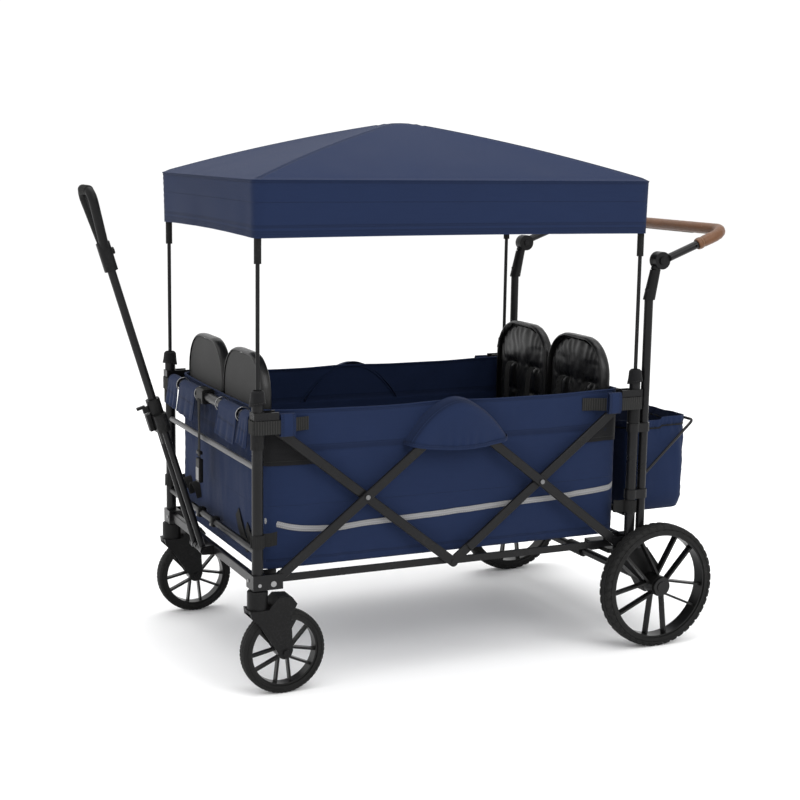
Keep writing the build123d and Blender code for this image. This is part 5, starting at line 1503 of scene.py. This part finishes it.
# ------------------------------------------------------------------ rear bag
class WAGON_OT_rear_bag(bpy.types.Operator):
    """Make the sagging storage bag behind the push handle's uprights"""

    bl_idname = "wagon.rear_bag"
    bl_label = "Rear bag"

    def execute(self, context):
        cloth = context.scene.wagon_cloth
        half_x, half_y = (BAG_HIGH.x - BAG_LOW.x) / 2, BAG_HIGH.y
        middle, tall = (BAG_HIGH.x + BAG_LOW.x) / 2, BAG_HIGH.z - BAG_LOW.z
        heights = [0.0, 0.006, 0.016, 0.03, 0.05, 0.072, 0.095, 0.118, 0.14, 0.16, 0.178, 0.193, 0.205,
                   0.214, 0.220, 0.225, 0.231, 0.237]
        floor_rings = 14
        rise = [half_x * k / floor_rings for k in range(floor_rings + 1)] + [half_x + h for h in heights[1:]]

        def place(a, b, k):
            if k <= floor_rings:
                share = k / floor_rings
                x, y = round_corner(a * half_x * share, b * half_y * share, half_x * share, half_y * share,
                                    0.04 * share)
                return Vector((middle + x, y * 0.97, BAG_LOW.z + 0.004 * share ** 6
                               + 0.0015 * ripple(x, y, 0, 0.05)))
            h = heights[k - floor_rings] / tall
            x, y = round_corner(a * half_x, b * half_y, half_x, half_y, 0.034)
            corner = min(abs(a), abs(b))
            neck = 1 - 0.030 * math.exp(-((h - 0.90) / 0.035) ** 2)
            foot = 0.94 + 0.06 * ease(0, 0.12, h)
            x, y = x * neck * foot, y * (1 - (1 - neck) * 0.35) * (0.97 + 0.03 * ease(0, 0.12, h))
            belly = 0.007 * math.sin(math.pi * h ** 0.6) * (1 - corner ** 6)
            folds = (0.0042 * ripple(x, y, h * 0.24, 0.05, 2.0)
                     + 0.002 * ripple(x * 2, y * 2, h * 0.2, 0.05, 5.0)) * ease(0, 0.2, h)
            gather = 0.0022 * math.sin((x + y) * 260) * math.exp(-((h - 0.93) / 0.06) ** 2)
            push = belly + folds + gather
            if abs(a) >= abs(b):
                x += math.copysign(push, a)
            else:
                y += math.copysign(push, b)
            z = BAG_LOW.z + tall * h
            dip = 0.020 * (1 - (y / half_y) ** 2) * (0.3 if x > 0 else 1.0) + (0.006 if x < 0 else 0)
            z -= dip * h ** 3 - 0.0025 * ripple(x, y, 0, 0.06, 3.0) * h
            x = max(-half_x - 0.002, min(half_x + 0.001, x))
            return Vector((middle + x, y, z))

        def sew(a, b, k):
            return 1.0 if k <= floor_rings else heights[k - floor_rings] - tall + 0.020

        bag = ring_sheet("rear_bag", floor_rings + len(heights) - 1, place, rise, sew)
        thicken(bag, cloth.cloth_thick)
        dressed(soften(bag, 60), FINISHES["navy canvas"])
        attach(bag, "rear_frame")
        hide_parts("rear_basket")
        top = floor_rings + len(heights) - 1
        loop = []
        for i in range(241):
            turn = i / 240 * 4
            leg, t = int(turn) % 4, (turn % 1) * 2 - 1
            a, b = ((t, -1), (1, t), (-t, 1), (-1, -t))[leg]
            loop.append(place(a, b, top - 4) + Vector((0, 0, 0.001)))
        loop = evenly(loop, 201)
        centre = Vector((middle, 0, 0))
        draw = [p + Vector((p.x - centre.x, p.y * 0.4, 0)).normalized() * 0.0016 for p in loop]
        cord = tube_along("bag_drawcord", draw, 0.0022, FINISHES["black webbing"], around=8, capped=False)
        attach(cord, "rear_frame")
        return {"FINISHED"}


# ------------------------------------------------------------------ push handle's leather
GRIP_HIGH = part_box("push_grip")[1]
GRIP_MID = 0.0145          # from the outside of the grip to its centre line


def push_line(spare=0.0):
    """Centre line of the leather grip: arm, rounded corner, cross bar, corner, arm."""
    tilt = math.radians(21)
    arm_y = GRIP_HIGH.y - GRIP_MID
    corner = Vector((GRIP_HIGH.x - GRIP_MID, 0, GRIP_HIGH.z - GRIP_MID))
    back = Vector((-math.cos(tilt), 0, -math.sin(tilt)))
    bend = 0.046
    long = 0.092 - spare
    half = []
    for i in range(15):
        half.append(corner + back * (bend + (long - bend) * (1 - i / 14)) + Vector((0, -arm_y, 0)))
    centre = corner + back * bend + Vector((0, -arm_y + bend, 0))
    for i in range(1, 17):
        angle = math.pi / 2 * i / 16
        half.append(centre + Vector((0, -bend, 0)) * math.cos(angle) - back * bend * math.sin(angle))
    for i in range(1, 41):
        half.append(Vector((corner.x, (-arm_y + bend) * (1 - i / 40), corner.z)))
    other = [Vector((p.x, -p.y, p.z)) for p in half[:-1]][::-1]
    return half + other


class WAGON_OT_leather_grip(bpy.types.Operator):
    """Make the stitched leather cover of the push handle"""

    bl_idname = "wagon.leather_grip"
    bl_label = "Leather grip"

    def execute(self, context):
        line = evenly(push_line(), 201)
        long = line_length(line)

        def size(u, angle):
            s = min(u, 1 - u) * long
            radius = (0.0138 + 0.0007 * math.exp(-((s - 0.007) / 0.006) ** 2)
                      - 0.0012 * math.exp(-((s - 0.016) / 0.0022) ** 2))
            radius += 0.0003 * math.sin(u * 900) * math.exp(-((s - 0.075) / 0.03) ** 2)
            radius += 0.0003 * noise.noise(Vector((u * 60, angle, 0)))
            radius -= 0.0012 * (1 - ease(0, 0.004, s))
            seam = min(abs(angle - math.pi * 1.5), 2 * math.pi - abs(angle - math.pi * 1.5))
            return radius - 0.0011 * math.exp(-(seam / 0.09) ** 2)

        grip = tube_along("leather_grip", line, size, FINISHES["tan leather"], around=40)
        mark_leather(grip, line, long)
        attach(grip, "push_handle")
        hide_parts("push_grip")
        # dark zip slit under the cross bar
        low = Vector((0, 0, -1))
        slit = [Vector((GRIP_HIGH.x - GRIP_MID, -0.20 + 0.40 * i / 40, GRIP_HIGH.z - GRIP_MID)) + low * 0.0139
                for i in range(41)]
        zip_line = strap("grip_zip", slit, lambda u: Vector((1, 0, 0)), 0.006, 0.0010,
                         FINISHES["black webbing"])
        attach(zip_line, "push_handle")
        return {"FINISHED"}


def mark_leather(grip, line, long):
    """Stitch rows: two by the long seam, and one round each end band."""
    tree = KDTree(len(line))
    for i, p in enumerate(line):
        tree.insert(p, i)
    tree.balance()
    rows, runs = [], []
    for vertex in grip.data.vertices:
        p, i, _ = tree.find(vertex.co)
        s = long * i / (len(line) - 1)
        head = (line[min(i + 1, len(line) - 1)] - line[max(i - 1, 0)]).normalized()
        out = (vertex.co - p) - head * (vertex.co - p).dot(head)
        down = Vector((0, 0, -1)) - head * -head.z
        turn = out.angle(down, 0.0) if out.length > 1e-6 else 0.0
        near_end = min(s, long - s) - 0.0125
        seam = turn * 0.014 - 0.0045
        if abs(near_end) < abs(seam):
            rows.append(near_end)
            runs.append(turn * 0.014)
        else:
            rows.append(seam)
            runs.append(s)
    for name, values in (("sewn_row", rows), ("sewn_run", runs)):
        attribute = grip.data.attributes.get(name) or grip.data.attributes.new(name, "FLOAT", "POINT")
        attribute.data.foreach_set("value", values)


# ------------------------------------------------------------------ webbing and straps
class WAGON_OT_webbing(bpy.types.Operator):
    """Make the corner bands, loop tabs, post straps and the front panel's straps"""

    bl_idname = "wagon.webbing"
    bl_label = "Webbing and straps"

    def execute(self, context):
        self.corner_bands()
        self.post_straps()
        self.front_panel()
        self.fold_webbing()
        return {"FINISHED"}

    def corner_bands(self):
        """Ribbed elastic round each top corner, held by a navy loop tab."""
        for end, post_x in ((-1, FRONT_POST_X), (1, REAR_POST_X)):
            body = end_word(end) + "_top"
            tag = end_word(end)
            for name, side in SIDES:
                out_y, out_x = 0.3462, post_x + end * 0.0152
                points = [(post_x - end * 0.128, side * (HALF_WIDE + 0.006), 0.597),
                          (post_x - end * 0.100, side * (HALF_WIDE + 0.012), 0.597),
                          (post_x - end * 0.062, side * (out_y - 0.006), 0.599),
                          (post_x - end * 0.046, side * out_y, 0.600),
                          (post_x, side * out_y, 0.600),
                          (post_x + end * 0.009, side * (out_y - 0.001), 0.600),
                          (out_x, side * (out_y - 0.008), 0.600),
                          (out_x, side * 0.322, 0.600), (post_x + end * 0.012, side * 0.305, 0.600)]
                line = evenly(points, 61)
                band = strap("corner_band_%s_%s" % (tag, name), line, lambda u: Vector((0, 0, 1)), WEB_WIDE,
                             WEB_THICK, FINISHES["ribbed elastic"], count=60, rows=8)
                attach(band, body)
                x_mid = post_x - end * 0.064

                def tab_place(u, v):
                    angle = u * 2 * math.pi
                    x = x_mid + (v - 0.5) * 0.034
                    z = 0.601 + 0.0235 * math.sin(angle)
                    spread = abs(math.sin(angle)) ** 0.5
                    y = 0.3385 + (0.0095 if math.cos(angle) > 0 else -0.004) * abs(math.cos(angle)) ** 0.35
                    return Vector((x, side * (y - 0.0005 * spread), z + (0.004 if z > 0.601 else 0)))

                tab = grid("loop_tab_%s_%s" % (tag, name), 36, 8, tab_place, (0.11, 0.034),
                           lambda u, v: (min(v, 1 - v) * 0.034 - 0.004, u * 0.11), closed=True)
                outward(tab)
                thicken(tab, 0.0016)
                dressed(soften(tab, 60), FINISHES["navy canvas"])
                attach(tab, body)
                for piece in (band, tab):
                    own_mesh(piece)

                # dark mesh window below the band
                def mesh_place(u, v):
                    z = 0.505 + 0.080 * v
                    inner = 0.020 + (0.601 - z) * 1.28
                    return side_surface(post_x - end * (0.024 + (inner - 0.024) * u), z, side, 0.0042)

                window = grid("mesh_window_%s_%s" % (tag, name), 24, 16, mesh_place, (0.115, 0.078),
                              lambda u, v: (min(v - 0.12, 1 - u, key=abs) * 0.07, u * 0.115))
                thicken(window, 0.0008, side * 1.0)
                dressed(soften(window), FINISHES["dark mesh"])
                hang_on(window, -1)

    def post_straps(self):
        """Hook-and-loop straps round the lower posts, with a loose tail."""
        for end, post_x, low, body in ((-1, FRONT_POST_X, 0.348, "front_frame"),
                                       (1, REAR_POST_X, 0.345, "rear_frame")):
            for name, side in SIDES:
                wrap = 0.0148
                points = []
                for i in range(25):
                    angle = math.radians(200 + 320 * i / 24)
                    points.append((post_x - end * wrap * math.cos(angle),
                                   side * (POST_Y - wrap * math.sin(angle)), low))
                tail = [(post_x - end * 0.030, side * (POST_Y - 0.004), low - 0.001),
                        (post_x - end * 0.046, side * (POST_Y - 0.002), low + 0.002)]
                line = evenly(points + tail, 61)
                band = strap("post_strap_%s_%s" % (end_word(end), name), line,
                             lambda u: Vector((0.02, 0, 1)), WEB_WIDE, WEB_THICK,
                             FINISHES["black webbing"], count=60, rows=6)
                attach(band, body)

    def front_panel(self):
        """Straps and arched loops sewn on the front panel."""
        straps = [((-0.215, 0.300), (-0.145, 0.372), 0.030), ((-0.262, 0.318), (-0.205, 0.352), 0.024)]
        for index, ((y0, z0), (y1, z1), width) in enumerate(straps):
            points = []
            for i in range(21):
                t = i / 20
                y, z = y0 + (y1 - y0) * t, z0 + (z1 - z0) * t
                points.append(end_surface(y, z, -1, 0.0028 + 0.004 * math.sin(math.pi * t)))
            tilt = Vector((0, -(z1 - z0), y1 - y0))
            web = strap("panel_strap_%d" % (index + 1), points, lambda u: tilt, width, 0.0014,
                        FINISHES["black webbing"], count=24)
            hang_on(web, -1)
        for index, y in enumerate((0.155, 0.215)):
            points = []
            for i in range(25):
                angle = math.pi * i / 24
                points.append(end_surface(y + 0.026 * math.cos(angle), 0.345 + 0.034 * math.sin(angle), -1,
                                          0.003 + 0.007 * math.sin(angle)))
            loop = strap("panel_loop_%d" % (index + 1), points, lambda u: Vector((1, 0, 0.25)), 0.020, 0.0014,
                         FINISHES["black webbing"], count=24)
            hang_on(loop, -1)

    def fold_webbing(self):
        """Webbing that hangs from the middle of the front top rail to its buckle."""
        low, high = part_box("fold_strap")
        y = (low.y + high.y) / 2
        points = [(FRONT_POST_X - 0.0155, y, high.z + 0.010), (FRONT_POST_X - 0.0155, y, high.z - 0.015),
                  (low.x - 0.0005, y, high.z - 0.040), (low.x - 0.0005, y - 0.001, (low.z + high.z) / 2),
                  (low.x - 0.001, y, low.z + 0.004)]
        web = strap("fold_webbing", curve_points(points, 49),
                    lambda u: Vector((0.12 * math.sin(3 * u), 1, 0)), 0.020,
                    0.0018, FINISHES["black webbing"], count=48)
        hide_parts("fold_strap")
        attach(web, "front_top")
        box_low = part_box("fold_strap_fittings")[0]
        face = block("buckle_face", (box_low.x - 0.0012, y - 0.0105, box_low.z + 0.006),
                     (box_low.x + 0.0015, y + 0.0105, box_low.z + 0.036), 0.0008, 2)
        edit(face, "FACE", lambda c, n: n.x < -0.9,
             lambda: bpy.ops.mesh.inset(thickness=0.003, depth=-0.0006))
        dressed(soften(face), FINISHES["pale plastic"])
        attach(face, "front_top")
        keeper = block("strap_keeper", (low.x - 0.0040, y - 0.0125, low.z + 0.010),
                       (low.x + 0.0045, y + 0.0125, low.z + 0.018), 0.0012, 2)
        dressed(soften(keeper), FINISHES["black plastic"])
        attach(keeper, "front_top")


# ------------------------------------------------------------------ tyres
class WAGON_OT_tyres(bpy.types.Operator):
    """Make the tyres with their tread, sidewall rings and blocks"""

    bl_idname = "wagon.tyres"
    bl_label = "Tyres"

    def execute(self, context):
        self.pair("front", 60, 0.0006, 0.017, 0.4)
        self.pair("rear", 44, 0.0022, 0.022, 0.55)
        return {"FINISHED"}

    def pair(self, end, blocks, groove, thick, reach):
        """Turn one tyre of an end, and copy it to the other side."""
        low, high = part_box("%s_wheel_right_tyre" % end)
        radius, wide = (high.z - low.z) / 2, high.y - low.y
        centre = (low + high) / 2
        inner = radius - thick
        profile = [(-0.5, inner), (-0.5, inner + thick * 0.30), (-0.5, inner + thick * 0.36),
                   (-0.47, inner + thick * 0.42),
                   (-0.47, inner + thick * 0.48), (-0.5,
                                                   inner + thick * 0.54), (-0.495, inner + thick * 0.70),
                   (-0.46, inner + thick * 0.86), (-0.40, inner + thick * 0.95), (-0.30, radius - 0.0006),
                   (-0.20, radius - 0.0002), (-0.185,
                                              radius - 0.0020), (-0.155, radius - 0.0020), (-0.14, radius),
                   (0.0, radius)]
        profile = profile + [(-y, r) for y, r in profile[:-1]][::-1]
        count = len(profile) - 1
        around = blocks * 6

        def place(u, v):
            i = round(v * count)
            y, r = profile[i]
            angle = u * 2 * math.pi
            phase = (u * blocks + 0.18 * abs(y) * 4) % 1
            cut = 1.0 if phase < 0.30 else 0.0
            on_shoulder = 0.28 <= abs(y) <= 0.497 and r > inner + thick * (1 - reach)
            if cut and on_shoulder:
                r -= groove
                y *= 1 - groove / wide * 1.6
            return Vector((centre.x + r * math.cos(angle), centre.y + y * wide,
                           centre.z + r * math.sin(angle)))

        tyre = grid("%s_tyre_right" % end, around, count, place, (2 * math.pi * radius, 0.08), closed=True)
        # the bead: a wall between the two inner rims closes the ring
        edit(tyre, "EDGE", lambda c, d: False, select_rims,
             lambda: bpy.ops.mesh.bridge_edge_loops())
        outward(tyre)
        dressed(soften(tyre, 38), FINISHES["tyre rubber"])
        twin = mirror_copy(tyre, "%s_tyre_left" % end)
        for obj, name in ((tyre, "right"), (twin, "left")):
            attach(obj, "%s_wheel_%s" % (end, name))
            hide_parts("%s_wheel_%s_tyre" % (end, name))


# ------------------------------------------------------------------ small hardware
class WAGON_OT_hardware(bpy.types.Operator):
    """Make the wire hooks, clips, caps and grip details"""

    bl_idname = "wagon.hardware"
    bl_label = "Small hardware"

    def execute(self, context):
        self.wire_hooks()
        self.post_caps()
        self.hand_grip()
        self.cross_bolts()
        return {"FINISHED"}

    def wire_hooks(self):
        """Bright wire hooks that hang the front panel from the top rail, and pins on the lower tube."""
        for index, y in enumerate((-0.236, -0.092, 0.066, 0.212)):
            points = []
            for i in range(19):
                angle = math.radians(-60 + 300 * i / 18)
                points.append((FRONT_POST_X + 0.0165 * math.cos(angle), y + 0.004 * math.sin(angle * 0.5),
                               TOP_RAIL_Z + 0.0165 * math.sin(angle)))
            points += [(FRONT_POST_X + 0.004, y + 0.010, TOP_RAIL_Z - 0.026)]
            hook = tube_along("wire_hook_%d" % (index + 1), evenly(points, 40), 0.0013,
                              FINISHES["bright steel"], around=8)
            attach(hook, "front_top")
        for index, y in enumerate((-0.03, 0.075)):
            clip = block("tube_clip_%d" % (index + 1), (FRONT_POST_X - 0.0105, y - 0.011, 0.3115),
                         (FRONT_POST_X + 0.0105, y + 0.011, 0.3345), 0.003, 3)
            dressed(soften(clip), FINISHES["black plastic"])
            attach(clip, "front_frame")
            pin = disc("clip_pin_%d" % (index + 1), (FRONT_POST_X - 0.0110, y, 0.316), (-1, 0, 0), 0.0034,
                       0.003, 0.0006, 20)
            dressed(pin, FINISHES["bright steel"])
            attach(pin, "front_frame")

    def post_caps(self):
        """Cloth sleeves over the canopy sockets, flared at the foot."""
        for end, post_x in ((-1, FRONT_POST_X), (1, REAR_POST_X)):
            for name, side in SIDES:
                def place(u, v):
                    angle = u * 2 * math.pi
                    radius = 0.0152 + 0.0034 * (1 - v) ** 2 + 0.0006 * math.sin(angle * 5) * (1 - v)
                    z = 0.648 + 0.032 * v - 0.004 * (1 - v) * math.sin(angle + side)
                    radius *= 1 - 0.30 * ease(0.86, 1.0, v)
                    return Vector((post_x + radius * math.cos(angle),
                                   side * POST_Y + radius * math.sin(angle), z))

                cap = grid("post_cap_%s_%s" % (end_word(end), name), 40, 12, place, (0.1, 0.03),
                           lambda u, v: (v * 0.03 - 0.004, u * 0.1), closed=True)
                outward(cap)
                thicken(cap, 0.0014)
                dressed(soften(cap, 60), FINISHES["dark mesh"])
                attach(cap, end_word(end) + "_top")

    def hand_grip(self):
        """Ribbed pad inside the pull grip's top bar."""
        low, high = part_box("pull_grip")
        top = Vector((low.x + 0.0105, 0, high.z - 0.0105))
        half = 0.030
        points = [top + Vector((0, -half + 2 * half * i / 60, 0)) for i in range(61)]

        def size(u, angle):
            edge = ease(0, 0.06, min(u, 1 - u))
            return 0.0106 + (0.0009 * edge if math.sin(u * 2 * math.pi * 11) > -0.2 else 0.0001)

        pad = tube_along("grip_ribs", points, size, FINISHES["tyre rubber"], around=28)
        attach(pad, "pull_extension")

    def cross_bolts(self):
        """Domed heads with a washer over the scissor's visible bolts."""
        for end, body in ((-1, "front_rising_bars"), (1, "rear_falling_bars")):
            x = MIDDLE_X + end * 0.223
            for name, side in SIDES:
                y = side * 0.3417
                head = disc("cross_bolt_%s_%s" % (end_word(end), name), (x, y + side * 0.0009, 0.427),
                            (0, side, 0), 0.0056, 0.0022, 0.0008, 24)
                dressed(head, FINISHES["grey steel"])
                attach(head, body)


# ------------------------------------------------------------------ stage
class WAGON_OT_stage(bpy.types.Operator):
    """Set the floor, the soft studio light and the camera"""

    bl_idname = "wagon.stage"
    bl_label = "Stage"

    def execute(self, context):
        scene, stage = context.scene, context.scene.wagon_stage
        clear()
        bpy.ops.mesh.primitive_plane_add(size=90, location=(0, 0, 0))
        floor = named("floor")
        soften(floor)
        tree, shader = start("studio floor")
        place = wire(tree, "ShaderNodeTexCoord").outputs["Object"]
        faint = wire(tree, "ShaderNodeTexNoise", {"Vector": place, "Scale": 3.0, "Detail": 2.0}).outputs[0]
        base = tuple(stage.floor)
        tint(tree, shader, [c * 0.985 for c in base], base, faint)
        feed(tree, shader, "Roughness", 0.75, 0.85, faint)
        dressed(floor, FINISHES["studio floor"])
        world = bpy.data.worlds.new("studio")
        scene.world = world
        world.use_nodes = True
        world.node_tree.nodes["Background"].inputs[0].default_value = (1.0, 1.0, 1.0, 1.0)
        world.node_tree.nodes["Background"].inputs[1].default_value = stage.sky
        self.light("key", (1.2, -4.2, 3.4), 3.0, stage.key)
        self.light("top", (0.2, 0.2, 4.6), 4.0, stage.key * 1.3)
        self.light("front", (-4.2, -0.6, 2.2), 2.4, stage.key * 0.3)
        self.camera(context, stage)
        scene.view_settings.view_transform = "Standard"
        return {"FINISHED"}

    def light(self, name, place, size, power):
        """Large soft light aimed at the wagon's middle."""
        clear()
        bpy.ops.object.light_add(type="AREA", location=place)
        lamp = bpy.context.object
        lamp.name = name
        lamp.data.size = size
        lamp.data.energy = power
        lamp.rotation_mode = "QUATERNION"
        lamp.rotation_quaternion = (Vector((0, 0, 0.5)) - Vector(place)).to_track_quat("-Z", "Y")

    def camera(self, context, stage):
        """Camera at eye height, ahead of the wagon's right side."""
        azimuth, elevation, roll = (math.radians(turn) for turn in EYE_TURN)
        back = Vector((math.sin(azimuth) * math.cos(elevation), -math.cos(azimuth) * math.cos(elevation),
                       math.sin(elevation)))
        right = Vector((math.cos(azimuth), math.sin(azimuth), 0))
        up = back.cross(right)
        right2 = right * math.cos(roll) + up * math.sin(roll)
        up2 = up * math.cos(roll) - right * math.sin(roll)
        clear()
        bpy.ops.object.camera_add(location=EYE)
        camera = bpy.context.object
        camera.rotation_mode = "QUATERNION"
        camera.rotation_quaternion = Matrix((right2, up2, back)).transposed().to_quaternion()
        camera.data.lens = stage.lens
        camera.data.sensor_width = SENSOR_WIDE
        camera.data.shift_x, camera.data.shift_y = EYE_SHIFT
        context.scene.camera = camera


# ------------------------------------------------------------------ panel and running
ORDER = ("frame_finishes", "canopy", "tub", "side_flaps", "floor_mat", "seats", "rear_bag", "leather_grip",
         "webbing", "tyres", "hardware", "stage")


class WAGON_PT_panel(bpy.types.Panel):
    """Lists the wagon's pieces in the sidebar"""

    bl_idname = "WAGON_PT_panel"
    bl_label = "Wagon"
    bl_space_type = "VIEW_3D"
    bl_region_type = "UI"
    bl_category = "Wagon"

    def draw(self, context):
        for name in ("navy", "navy_shade", "leather", "vinyl", "thread_pitch", "cloth_thick"):
            self.layout.prop(context.scene.wagon_cloth, name)
        for name in ("belly", "roof_sag", "hem_arch", "pad_cap", "pad_frames"):
            self.layout.prop(context.scene.wagon_shape, name)
        for name in ("floor", "sky", "key", "lens"):
            self.layout.prop(context.scene.wagon_stage, name)
        for step in ORDER:
            self.layout.operator("wagon." + step)


CLASSES = (WagonCloth, WagonShape, WagonStage, WAGON_OT_frame_finishes, WAGON_OT_canopy, WAGON_OT_tub,
           WAGON_OT_side_flaps, WAGON_OT_floor_mat, WAGON_OT_seats, WAGON_OT_rear_bag, WAGON_OT_leather_grip,
           WAGON_OT_webbing, WAGON_OT_tyres, WAGON_OT_hardware, WAGON_OT_stage, WAGON_PT_panel)


def register():
    for item in CLASSES:
        bpy.utils.register_class(item)
    bpy.types.Scene.wagon_cloth = PointerProperty(type=WagonCloth)
    bpy.types.Scene.wagon_shape = PointerProperty(type=WagonShape)
    bpy.types.Scene.wagon_stage = PointerProperty(type=WagonStage)


def unregister():
    del bpy.types.Scene.wagon_stage, bpy.types.Scene.wagon_shape, bpy.types.Scene.wagon_cloth
    for item in reversed(CLASSES):
        bpy.utils.unregister_class(item)


def main():
    """Make every piece in order."""
    register()
    for step in ORDER:
        getattr(bpy.ops.wagon, step)()


if __name__ == "__main__":
    main()
